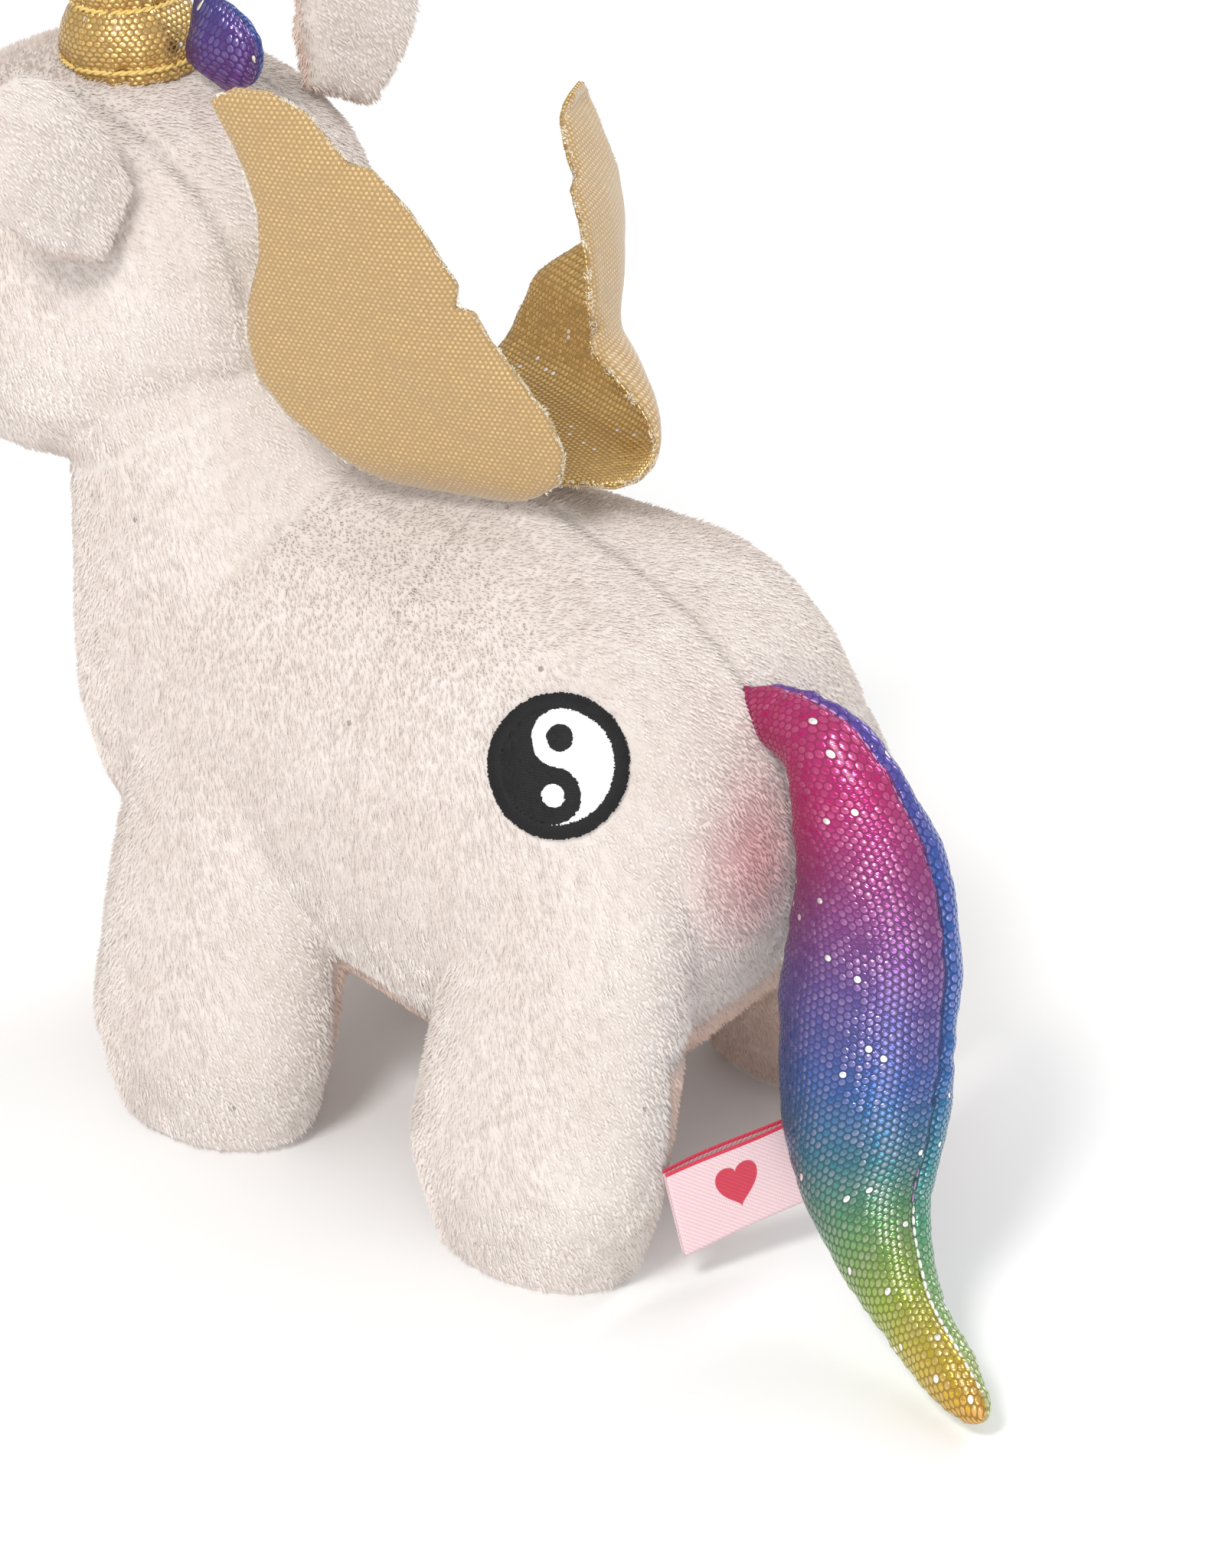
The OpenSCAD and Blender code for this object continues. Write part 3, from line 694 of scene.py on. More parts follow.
def makeFigure(s):
    core = joinedCopy("core", figureNodes)
    coreTree = treeOf(core)
    figure = joinedCopy("plushFigure", figureNodes)
    finishWith(figure, "REMESH", mode="VOXEL", voxel_size=s["voxel"] * mm)
    finishWith(figure, "SMOOTH", factor=0.5, iterations=s["smooth"])
    swell(figure, s["pressure"], s["cap"] * mm)
    finishWith(figure, "SUBSURF", levels=2, render_levels=2)
    finishWith(figure, "SMOOTH", factor=0.5, iterations=6)
    for turn in range(2):
        co, no = coordsOf(figure), normalsOf(figure)
        push = np.zeros(len(co))
        for i, p in enumerate(co):
            at, normal, _, dist = coreTree.find_nearest(p)
            side = 1 if (Vector(p) - at).dot(normal) >= 0 else -1
            push[i] = min(max(s["skin"] * mm - side * dist, -0.0006), 0.004)
        placeCoords(figure, co + no * push[:, None])
        finishWith(figure, "SMOOTH", factor=0.5, iterations=5)
    bpy.data.objects.remove(core)
    return figure


def seamLines(co, s):
    # how near each point is to a seam between two panels, in metres
    x, y, z = co.T
    dist = np.full(len(co), 1.0)
    neck = np.array(s["neckAt"]) * mm
    tilt = math.radians(s["neckTilt"])
    past = (y - neck[1]) * -math.sin(tilt) + (z - neck[2]) * math.cos(tilt)
    body = past < 0
    gusset = (np.abs(x) < s["gussetX"] * mm) & (z < s["gussetZ"] * mm)
    dist = np.where(body & ~gusset, np.minimum(dist, np.abs(x)), dist)
    low = body & (z < (s["gussetZ"] + 3) * mm)
    dist = np.where(low, np.minimum(dist, np.abs(np.abs(x) - s["gussetX"] * mm)), dist)
    brow = ~body & (z > s["browZ"] * mm)
    dist = np.where(brow, np.minimum(dist, np.abs(np.abs(x) - s["browX"] * mm)), dist)
    dist = np.where(~body & ~brow, np.minimum(dist, np.abs(x)), dist)
    dist = np.where(np.abs(z - s["gussetZ"] * mm) < 0.006, np.minimum(dist, np.where(
        np.abs(x) < s["gussetX"] * mm, np.abs(z - s["gussetZ"] * mm), 1.0)), dist)
    return dist, gusset & body, past


figure = makeFigure(figureSetup)
co, no = coordsOf(figure), normalsOf(figure)
seamDist, inGusset, pastNeck = seamLines(co, figureSetup)
seam = hill(seamDist, figureSetup["seamWidth"] * mm)
pucker = fieldNoise(co, 0.0035, 1) * hill(seamDist, 0.006)
clumps = fieldNoise(co, 0.0028, 2)
dents = fieldNoise(co, 0.026, 3)
rear = smoothStep((co[:, 1] - 0.015) / 0.03)
clumpSize = figureSetup["clumps"] + figureSetup["rearClumps"] * rear
move = (-figureSetup["seamDepth"] * seam + figureSetup["pucker"] * pucker + clumpSize * clumps
        + figureSetup["dents"] * dents) * mm
co = co + no * move[:, None]
co[:, 2] = np.maximum(co[:, 2], 0.0002)
placeCoords(figure, co)
pointValues(figure, "seam", seam)
pointValues(figure, "peach", inGusset.astype(float))
figure.data.materials.clear()
figure.data.materials.append(plush)
figure.data.polygons.foreach_set("use_smooth", [True] * len(figure.data.polygons))
figureTree = treeOf(figure)
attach(figure, "stuffed_body")
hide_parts(*figureNodes, *skinNodes)
print("figure made", len(figure.data.polygons))


# tufts stand clear of the emblem and the floor
pileSetup = {"density": 2.4e6, "length": 1.15, "width": 0.23, "upright": 0.8, "mess": 1.3}
emblemSetup = {
    "at": (28.0, 37.5, 83.0), "turn": 24.0, "tip": 70.0, "radius": 11.0, "border": 2.35,
    "step": 0.13, "row": 0.42, "lift": 0.55, "clear": 0.2, "puff": 0.38, "twist": 0.09, "rowPuff": 0.13,
    "darkDot": 0.235, "lightDot": 0.205,
}


def emblemAxes(s):
    a, b = math.radians(s["turn"]), math.radians(s["tip"])
    out = Vector((math.sin(b) * math.cos(a), math.sin(b) * math.sin(a), math.cos(b)))
    up = Vector((-math.cos(b) * math.cos(a), -math.cos(b) * math.sin(a), math.sin(b)))
    right = Vector((-math.sin(a), math.cos(a), 0))
    return out, up, right


def pileOn(name, base, keep, body, seed, density=1.0, **values):
    part = partOf(name + "Base", base, keep)
    settings = {
        "Density": pileSetup["density"] * density, "Length": pileSetup["length"] * mm,
        "Width": pileSetup["width"] * mm, "Upright": pileSetup["upright"], "Mess": pileSetup["mess"],
        "Seed": seed, **values,
    }
    pile = grown(name, part, pileTufts, settings, pilePlush)
    bpy.data.objects.remove(part)
    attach(pile, body)
    return pile


emblemOut, emblemUp, emblemRight = emblemAxes(emblemSetup)
rel = co - np.array(emblemSetup["at"]) * mm
offAxis = rel - np.outer(rel @ np.array(emblemOut), np.array(emblemOut))
emblemReach = (emblemSetup["radius"] + emblemSetup["clear"]) * mm
clearOfEmblem = (np.linalg.norm(offAxis, axis=1) > emblemReach) | (rel @ np.array(emblemOut) < -0.01)
clear = clearOfEmblem & (co[:, 2] > 0.0009)
headPart = pastNeck > 0
for name, part, seed in (
    ("pileHead", headPart, 11),
    ("pileFore", ~headPart & (co[:, 1] < 0.006), 12),
    ("pileRump", ~headPart & (co[:, 1] >= 0.004), 13),
):
    pileOn(name, figure, clear & part, "stuffed_body", seed)
print("pile grown")


# each ear's base seam lies at local height 0
earSetup = {
    "left": {"at": (31.0, -50.2, 151.3), "lean": 12.0, "splay": 42.0, "turn": 0.0},
    "right": {"at": (-29.4, -50.8, 155.0), "lean": 12.0, "splay": -29.0, "turn": -10.0},
}
earShape = {
    "voxel": 1.3, "pressure": 3.0, "cap": 0.8, "cup": 1.6, "lobe": 0.7, "seamDepth": 0.5, "bumps": 0.25,
    "narrow": 0.22, "sink": 1.1, "pileLength": 1.1, "pileWidth": 0.2,
}


def makeEar(side, s, shape):
    nodesHere = [f"ear_back_{side}", f"ear_lining_{side}"]
    ear = joinedCopy(f"ear{side.title()}", nodesHere)
    finishWith(ear, "REMESH", mode="VOXEL", voxel_size=shape["voxel"] * mm)
    finishWith(ear, "SMOOTH", factor=0.5, iterations=6)
    swell(ear, shape["pressure"], shape["cap"] * mm)
    finishWith(ear, "SUBSURF", levels=1, render_levels=1)
    lean, splay, twist = (Matrix.Rotation(math.radians(s[way]), 3, axis)
                          for way, axis in (("lean", "X"), ("splay", "Y"), ("turn", "Z")))
    turn = lean @ splay @ twist
    local = (coordsOf(ear) - np.array(s["at"]) * mm) @ np.array(turn)
    rim = np.abs(local[:, 1] + 0.1 * mm)
    lobe = smoothStep((local[:, 2] - 0.004) / 0.008)
    lining = local[:, 1] < 0
    hollow = np.exp(-(local[:, 0] / 0.008) ** 2 - ((local[:, 2] - 0.016) / 0.009) ** 2)
    cup = -shape["cup"] * mm * hollow
    no = normalsOf(ear)
    foot = 1 - smoothStep(local[:, 2] / 0.006)
    tuck = local * [1, 1, 1]
    tuck[:, 0] *= 1 - shape["narrow"] * foot
    tuck[:, 2] -= shape["sink"] * mm * foot
    placeCoords(ear, tuck @ np.array(turn).T + np.array(s["at"]) * mm)
    seam = hill(rim, 0.0009) * lobe
    shift = np.where(lining, cup, shape["lobe"] * mm * lobe) - shape["seamDepth"] * mm * seam
    shift = shift + shape["bumps"] * mm * fieldNoise(local, 0.004, 5)
    placeCoords(ear, coordsOf(ear) + no * shift[:, None])
    pointValues(ear, "seam", seam)
    pointValues(ear, "peach", lining.astype(float) * 0.7)
    ear.data.materials.append(plush)
    ear.data.polygons.foreach_set("use_smooth", [True] * len(ear.data.polygons))
    body = f"{side}_ear"
    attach(ear, body)
    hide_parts(*nodesHere)
    pileOn(f"pileEar{side.title()}", ear, np.ones(len(local), bool), body, 21, 1.1,
           Length=shape["pileLength"] * mm, Width=shape["pileWidth"] * mm)
    return ear


for side, s in earSetup.items():
    makeEar(side, s, earShape)
print("ears made")


# tail and mane lock: two foil panels round a filling
tailSetup = {
    "root": (0.0, 55.8, 86.0), "drop": 81.5, "sway": 38.0, "depth": 29.0, "thick": 23.0,
    "tongue": [(88.4, 0.5, 0.04), (87.2, 1.4, 0.17)],
    "path": [
        (0.00, 1.5, 0.005, 0.36), (0.04, 12.5, 0.045, 0.58), (0.10, 21, 0.20, 0.84), (0.19, 25, 0.34, 0.96),
        (0.29, 27, 0.47, 1.00), (0.42, 30, 0.63, 0.98), (0.58, 36, 0.79, 0.74), (0.75, 47, 0.905, 0.46),
        (0.91, 59, 0.96, 0.36), (1.00, 68, 0.995, 0.18),
    ],
    "left": [
        (0.0, (0.60, 0.02, 0.17)), (0.20, (0.60, 0.02, 0.19)),
        (0.33, (0.30, 0.06, 0.27)), (0.43, (0.13, 0.09, 0.35)),
        (0.54, (0.035, 0.13, 0.42)), (0.63, (0.03, 0.19, 0.26)), (0.72, (0.12, 0.33, 0.13)),
        (0.82, (0.34, 0.48, 0.05)), (0.90, (0.62, 0.50, 0.04)), (1.0, (0.70, 0.38, 0.03)),
    ],
    "right": [
        (0.0, (0.24, 0.05, 0.38)), (0.16, (0.10, 0.08, 0.45)),
        (0.30, (0.03, 0.12, 0.50)), (0.52, (0.03, 0.17, 0.48)),
        (0.64, (0.03, 0.28, 0.34)), (0.76, (0.12, 0.42, 0.20)),
        (0.88, (0.36, 0.58, 0.20)), (1.0, (0.55, 0.62, 0.25)),
    ],
}


def rumpAt(z):
    # where the back of the rump lies at a height, along the middle
    return figureTree.ray_cast(Vector((0, 0.2, z * mm)), Vector((0, -1, 0)))[0].y / mm


maneSetup = {
    "root": (0.0, -50.0, 161.4), "length": 15.0, "width": 15.0, "flat": 0.5,
    "path": [(0, 0.00, 0.30), (0, 0.25, 0.85), (-1, 0.50, 1.00), (-3, 0.75, 0.70), (-6, 1.00, 0.12)],
    "left": [(0.0, (0.20, 0.04, 0.26)), (1.0, (0.05, 0.06, 0.28))],
    "right": [(0.0, (0.05, 0.06, 0.30)), (1.0, (0.03, 0.10, 0.32))],
}


def colourAt(s, table):
    return [float(np.interp(s, [r[0] for r in table], [r[1][k] for r in table])) for k in range(3)]


tubeShape = {
    "pucker": 0.75, "puckerReach": 4.5, "seamDip": 0.13, "seamWidth": 0.9, "endRound": 2.2, "endSize": 0.35,
}


def makeStuffedTube(name, path, depth, thick, look, finish, around=104, spacing=0.75, dentSize=0.9):
    # two cloth panels round a filling, sewn together along both edges, with puckers at the seams
    shape = tubeShape
    fine = glide(path, 14)
    steps = np.r_[0, np.cumsum(np.linalg.norm(np.diff(fine[:, :3], axis=0), axis=1))]
    total = steps[-1]
    rows = max(12, int(total / spacing))
    at = np.linspace(0, total, rows)
    line = np.array([[np.interp(s, steps, fine[:, k]) for k in range(4)] for s in at])
    verts, uv, colours = [], [], []
    for i, row in enumerate(line):
        ahead = line[min(i + 1, rows - 1), :3] - line[max(i - 1, 0), :3]
        f = ahead / np.linalg.norm(ahead)
        seamWay = np.cross([1, 0, 0], f)
        seamWay /= np.linalg.norm(seamWay)
        sideWay = np.cross(f, seamWay)
        share = row[3]
        a, b = max(depth / 2 * share, 0.8), max(thick / 2 * share, 0.8)
        end = min(1, min(at[i], total - at[i]) / shape["endRound"])
        swollen = shape["endSize"] + (1 - shape["endSize"]) * math.sqrt(end)
        a, b = a * swollen, b * swollen
        s = at[i] / total
        for k in range(around):
            w = 2 * math.pi * k / around
            seamGap = min(abs(math.sin(w)) * b, 30)
            front = 0 if math.cos(w) > 0 else 1
            panel = math.sin(w) >= 0
            near = math.exp(-(seamGap / shape["seamWidth"]) ** 2)
            wide = math.exp(-seamGap / shape["puckerReach"])
            p3 = Vector((at[i] / 2.1, 3.1 * front + 7.7 * panel, 0.4))
            fold = noise.noise(p3) + 0.5 * noise.noise(p3 * 2.1)
            dent = noise.noise(Vector((at[i] / 9.0, k * 5.0 / around, 2.7 * panel)))
            r = 1 - shape["seamDip"] * near * min(1, b / 6)
            out = shape["pucker"] * wide * fold * min(1, b / 5) + dentSize * dent * min(1, b / 6) * (1 - wide)
            point = row[:3] + seamWay * (a * r * math.cos(w)) + sideWay * (b * r * math.sin(w))
            point = point + (seamWay * math.cos(w) + sideWay * math.sin(w)) * out
            verts.append(point * mm)
            uv.append((at[i], (w if w <= math.pi else 2 * math.pi - w) * (a + b) / 2 + (0 if panel else 40)))
            colours.append(colourAt(s, look["left"] if panel else look["right"]))
    tube = newPiece(name, verts, tubeFaces(rows, around))
    faceOutward(tube)
    cornerUv(tube, uv)
    pointColours(tube, "tailColour", colours)
    tube.data.materials.append(finish)
    return tube, line


r = tailSetup["root"]
tailPath = [
    (tailSetup["sway"] * q[0], r[1] + q[1], r[2] - tailSetup["drop"] * q[2], q[3]) for q in tailSetup["path"]
]
tailPath = [(0, rumpAt(z) + proud, z, share) for z, proud, share in tailSetup["tongue"]] + tailPath
tail, tailLine = makeStuffedTube(
    "tailStuffed", tailPath, tailSetup["depth"], tailSetup["thick"], tailSetup, rainbowFoil)
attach(tail, "tail")
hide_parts("tail_panel_left", "tail_panel_right", "tail_filling")

r = maneSetup["root"]
manePath = [(r[0], r[1] + q[0], r[2] + q[1] * maneSetup["length"], q[2]) for q in maneSetup["path"]]
mane = makeStuffedTube(
    "maneStuffed", manePath, maneSetup["width"], maneSetup["width"] * maneSetup["flat"], maneSetup, maneFoil,
    around=72, spacing=0.45, dentSize=1.2)[0]
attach(mane, "mane")
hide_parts("mane_panel_left", "mane_panel_right", "mane_filling")


def seamPath(line, depth, side, first, last, proud):
    points = []
    for i in range(len(line)):
        if not first <= i / len(line) <= last:
            continue
        ahead = line[min(i + 1, len(line) - 1), :3] - line[max(i - 1, 0), :3]
        f = ahead / np.linalg.norm(ahead)
        seamWay = np.cross([1, 0, 0], f)
        seamWay /= np.linalg.norm(seamWay)
        a = max(depth / 2 * line[i, 3], 1.1)
        points.append((line[i, :3] + seamWay * side * (a * 0.87 + proud)) * mm)
    return points


tailSeams = [
    ("tailRearSeam", (1, 0.04, 0.70, 0.1), violetThread, "tail_thread", (1.9, 1.5, 0.2)),
    ("tailFrontSeam", (-1, 0.04, 0.97, 0.1), violetThread, "tail_thread", (1.9, 1.5, 0.2)),
    ("tailClosing", (1, 0.71, 0.97, 0.25), whiteThread, "white_thread", (1.6, 1.5, 0.3)),
]
for name, place, thread, slot, sizes in tailSeams:
    stitches(name, seamPath(tailLine, tailSetup["depth"], *place), thread, "tail", slot, *sizes)
print("tail and mane made")


# puffed horn, its tip leaning back a little
hornSetup = {
    "at": (0.0, -70.0, 163.0), "lean": 4.0, "radius": 11.5, "length": 38.0, "turns": 4, "taper": 0.84,
    "puff": 1.3, "crease": 0.9, "creaseReach": 2.2, "fold": 0.45,
    "strand": 0.26, "strandApart": 0.22, "strandTwist": 2.2, "aroundThread": 150,
}


def hornRadius(z, s):
    puff = s["puff"] * abs(math.sin(math.pi * z * s["turns"] / s["length"]))
    return max(s["radius"] * (1 - s["taper"] * z / s["length"]) + puff - 0.6, 1.4)


def makeHorn(s):
    turn = Matrix.Rotation(math.radians(s["lean"]), 3, "X")
    around, heights = 96, list(np.arange(-2.0, s["length"], 0.35)) + [s["length"]]
    verts, uv = [], []
    for z in heights:
        zz = max(z, 0)
        waist = (zz * s["turns"] / s["length"] + 0.5) % 1 - 0.5
        waistGap = abs(waist) * s["length"] / s["turns"]
        for k in range(around):
            w = 2 * math.pi * k / around
            fold = noise.noise(Vector((math.cos(w) * 3.3, math.sin(w) * 3.3, zz / 9.0)))
            fine = noise.noise(Vector((math.cos(w) * 8, math.sin(w) * 8, 2 + zz / 5.0)))
            near = math.exp(-(waistGap / s["creaseReach"]) ** 2)
            plain = hornRadius(zz, s)
            rr = plain + (s["crease"] * fine * near + s["fold"] * fold) * min(1, plain / 6)
            p = turn @ Vector((rr * math.cos(w), rr * math.sin(w), z)) + Vector(s["at"])
            verts.append(p * mm)
            uv.append((w * 7.5, z))
    horn = newPiece("hornStuffed", verts, tubeFaces(len(heights), around))
    cornerUv(horn, uv)
    horn.data.materials.append(goldFoil)
    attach(horn, "stuffed_body")
    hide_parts("horn_cover", "horn_filling")
    # a twisted thread round each waist, and round the foot
    strands, strandFaces = [], []
    for ring in range(s["turns"]):
        z = ring * s["length"] / s["turns"] if ring else 0.4
        rr = hornRadius(max(z, 0), s) + 0.15
        for strand in range(2):
            base = len(strands)
            count = s["aroundThread"]
            for i in range(count):
                w = 2 * math.pi * i / count
                twist = w * rr * s["strandTwist"] + strand * math.pi
                centreR = rr + s["strandApart"] * math.cos(twist)
                centreZ = z + s["strandApart"] * math.sin(twist)
                for k in range(6):
                    v = 2 * math.pi * k / 6
                    pr, pz = centreR + s["strand"] * math.cos(v), centreZ + s["strand"] * math.sin(v)
                    point = turn @ Vector((pr * math.cos(w), pr * math.sin(w), pz))
                    strands.append((point + Vector(s["at"])) * mm)
            for i in range(count):
                for k in range(6):
                    a, b = base + i * 6 + k, base + i * 6 + (k + 1) % 6
                    c, d = base + ((i + 1) % count) * 6 + (k + 1) % 6, base + ((i + 1) % count) * 6 + k
                    strandFaces.append((a, d, c, b))
    thread = newPiece("hornThread", strands, strandFaces)
    thread.data.materials.append(goldThread)
    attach(thread, "stuffed_body")
    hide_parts("horn_thread")


makeHorn(hornSetup)
print("horn made")


# wing outlines: distance ahead of the seam's rear end at each height
wingSetup = {
    "rootZ": 111.0, "rootY": 11.0, "yaw": 17.0, "thick": 0.8, "gap": 0.04, "top": 69.3,
    "across": 44, "rowStep": 0.75, "edgeThin": 0.55, "edgeReach": 1.6, "curlReach": 13.0,
    "puff": 0.45, "ripple": 0.12,
    "left": {"x": 6.0, "low": 55.0, "flat": 0.0, "bend": 12.0, "lean": 8.0, "curl": 1.5},
    "right": {
        "x": -1.0, "low": 84.0, "flat": 17.0, "bend": 6.0, "lean": 14.0, "curl": 0.0,
        "turn": [(0, 0), (10, 0), (17, 26), (26, 60), (36, 62), (50, 55), (70, 54)],
        "zone": [(0, 5), (14, 6), (22, 9), (30, 18), (38, 36), (48, 55), (70, 70)],
        "hold": [(0, 1), (20, 0.9), (28, 0.5), (36, 0.35), (50, 0.35), (70, 0.4)],
        "out": [(0, 0), (13, -1.5), (20, -0.5), (27, 2.5), (33, 2.5), (40, 0), (54, -2.5), (60, -2), (70, -2)],
        "drop": [(0, 0), (30, 0), (69.3, 3.5)],
    },
    "rear": [
        (0, 0), (4, -5), (8, -9.3), (13, -10.3), (19, -8.2), (25, -3.6), (31, 1.2), (35.5, 3.4), (36.3, 6.2),
        (40, 5.6), (44, 8), (52, 12.8), (56, 16.3), (58, 18.4), (58.8, 22), (61, 23.7), (66, 28.2), (69.3, 34),
    ],
    "front": [
        (0, 20), (6, 27), (9, 30.5), (13, 35.5), (19, 39.8), (25.5, 40.8), (32.5, 39.9), (41, 37.3),
        (48.5, 36.9), (54.5, 38), (60.5, 40.2), (67, 42.9), (69.3, 39),
    ],
}


def wingLine(stance, top):
    # distance out and up for each 0.25 mm up the sheet, with the slope there
    out, up, rows = 0.0, 0.0, []
    for i in range(int(top / 0.25) + 8):
        t = i * 0.25
        bent = math.degrees(max(0, t - stance["flat"]) / stance["bend"])
        slope = math.radians(max(stance["lean"], stance["low"] - bent))
        rows.append((out, up, slope))
        out += 0.25 * math.sin(slope)
        up += 0.25 * math.cos(slope)
    return rows


def makeWingPoint(side, s):
    stance = s["left" if side > 0 else "right"]
    rows = wingLine(stance, s["top"])
    yaw = math.radians(s["yaw"])
    ahead = Vector((side * math.sin(yaw), -math.cos(yaw), 0))
    outWay = Vector((side * math.cos(yaw), math.sin(yaw), 0))
    root = Vector((stance["x"], s["rootY"], s["rootZ"]))

    levels, columns = np.arange(len(rows)) * 0.25, list(zip(*rows))
    cuts = {}

    def cutAt(t):
        # how one level of the sheet turns from its rear border to its front border
        if t not in cuts:
            a, b = lookup(t, s["rear"]), lookup(t, s["front"])
            rear = easedLookup(t, s["rear"])
            us = np.linspace(min(a, rear) - 1, b + 1, 61)
            w = 1 - smoothStep((us - rear) / easedLookup(t, stance["zone"])) if "zone" in stance else 0 * us
            heading = math.radians(easedLookup(t, stance["turn"]) if "turn" in stance else 0) * w
            step = us[1] - us[0]
            along, aside = (np.r_[0, np.cumsum((f(heading)[1:] + f(heading)[:-1]) / 2) * step]
                            for f in (np.cos, np.sin))
            held = rear + (b - rear) * (easedLookup(t, stance["hold"]) if "hold" in stance else 1)
            along += held - np.interp(held, us, along)
            aside -= np.interp(held, us, aside)
            cuts[t] = us, along, aside, heading
        return cuts[t]

    def middle(u, t):
        o, z, slope = (float(np.interp(t, levels, column)) for column in columns)
        us, alongs, asides, headings = cutAt(t)
        along, aside = (float(np.interp(u, us, f)) for f in (alongs, asides))
        shift = easedLookup(t, stance["out"]) * min(1, t / 8) if "out" in stance else 0
        drop = lookup(t, stance["drop"]) if "drop" in stance else 0
        nearRear = max(0, 1 - (u - easedLookup(t, s["rear"])) / s["curlReach"])
        curl = stance["curl"] * nearRear ** 2 * min(1, max(0, t - 12) / 16)
        puff = s["puff"] * noise.noise(Vector((u / 9, t / 9, 3.0 * side)))
        puff += s["ripple"] * noise.noise(Vector((u / 3, t / 3, 5.0 * side)))
        inward = (puff * min(1, t / 5) - curl) * math.cos(slope)
        return root + ahead * along + outWay * (o + aside + shift + inward) + Vector((0, 0, z - drop))

    spots = {}

    def at(u, t, d):
        key = (round(u, 3), round(t, 3))
        if key not in spots:
            across = middle(u + 0.3, t) - middle(u - 0.3, t)
            upward = middle(u, t + 0.3) - middle(u, max(t - 0.3, 0))
            spots[key] = middle(u, t), upward.cross(across).normalized() * side
        centre, normal = spots[key]
        return (centre + normal * d) * mm

    return at


def makeWingSheet(name, at, s, low, high, finish, nodeName, body):
    across = s["across"]
    rowsT = {round(s["rowStep"] * i, 3) for i in range(int(s["top"] / s["rowStep"]) + 1)}
    rowsT = sorted(rowsT | {s["top"], 35.5, 36.3, 58.0, 58.8})  # extra rows at the scallops' corners
    verts, uv = [], []
    for d in (low, high):
        for t in rowsT:
            a, b = lookup(t, s["rear"]), lookup(t, s["front"])
            for i in range(across + 1):
                u = a + (b - a) * i / across
                border = min(min(u - a, b - u), s["top"] - t, 6.0)
                thin = s["edgeThin"] + (1 - s["edgeThin"]) * min(1, border / s["edgeReach"])
                verts.append(at(u, t, d * thin))
                uv.append((u, t))
    sheet = newPiece(name, verts, sheetFaces(across + 1, len(rowsT)))
    faceOutward(sheet)
    cornerUv(sheet, uv)
    sheet.data.materials.append(finish)
    area = np.trapz([lookup(t, s["front"]) - lookup(t, s["rear"]) for t in rowsT], rowsT) * mm * mm
    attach(sheet, body)
    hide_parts(nodeName)
    return sheet


def wingOutline(s):
    # the cut edge, up the rear and down the front, with its corners eased
    ts = np.arange(1.0, s["top"], 0.8)
    borders = [(lookup(t, s["rear"]), lookup(t, s["front"]), t) for t in ts]
    borders = [(a, b, t) for a, b, t in borders if a < b - 0.5]
    q = np.array([(a, t) for a, b, t in borders] + [(b, t) for a, b, t in reversed(borders)])
    q[1:-1] = (q[:-2] + 2 * q[1:-1] + q[2:]) / 4
    return [tuple(p) for p in q]


def makeWing(side, s):
    word, low = ("Left", "left") if side > 0 else ("Right", "right")
    body = f"{low}_wing"
    at = makeWingPoint(side, s)
    near, far = s["gap"], s["gap"] + s["thick"]
    makeWingSheet(f"wing{word}Outer", at, s, near, far, twillGold, f"wing_{low}_outer", body)
    makeWingSheet(f"wing{word}Inner", at, s, -far, -near, goldFoil, f"wing_{low}_inner", body)
    # pale fibres along the cut edge
    edge = wingOutline(s)
    verts, faces = [], []
    for u, t in edge:
        verts += [at(u, t, -s["thick"] * 0.8), at(u, t, s["thick"] * 0.8)]
    for i in range(len(edge) - 1):
        faces.append((2 * i, 2 * i + 1, 2 * i + 3, 2 * i + 2))
    band = newPiece("frayBand", verts, faces)
    fray = grown(f"wing{word}Fray", band, pileTufts, {
        "Density": 1.5e7, "Length": 0.6 * mm, "Width": 0.07 * mm, "Upright": 0.0, "Mess": 3.0,
        "Lay": (0, 0, 0.01), "Seed": 5}, paleFray)
    bpy.data.objects.remove(band)
    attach(fray, body)


makeWing(1, wingSetup)
makeWing(-1, wingSetup)
print("wings made")


def emblemKind(x, y, s, inner, rowRandom, w):
    # border, light or dark at a place on the emblem, with the ragged edges of stitches
    r = math.hypot(x, y)
    if r > inner + 0.12 * rowRandom(int(w * 60), 1):
        return "border"
    h = inner / 2
    jag = 0.16 * rowRandom(int(math.floor(y / s["row"])), 2)
    xx = x + jag
    if math.hypot(xx, y - h) < inner * s["darkDot"] or math.hypot(xx, y + h) < inner * s["lightDot"]:
        return "dark" if y > 0 else "light"
    if math.hypot(xx, y - h) < h:
        return "light"
    if math.hypot(xx, y + h) < h:
        return "dark"
    return "light" if xx > 0 else "dark"


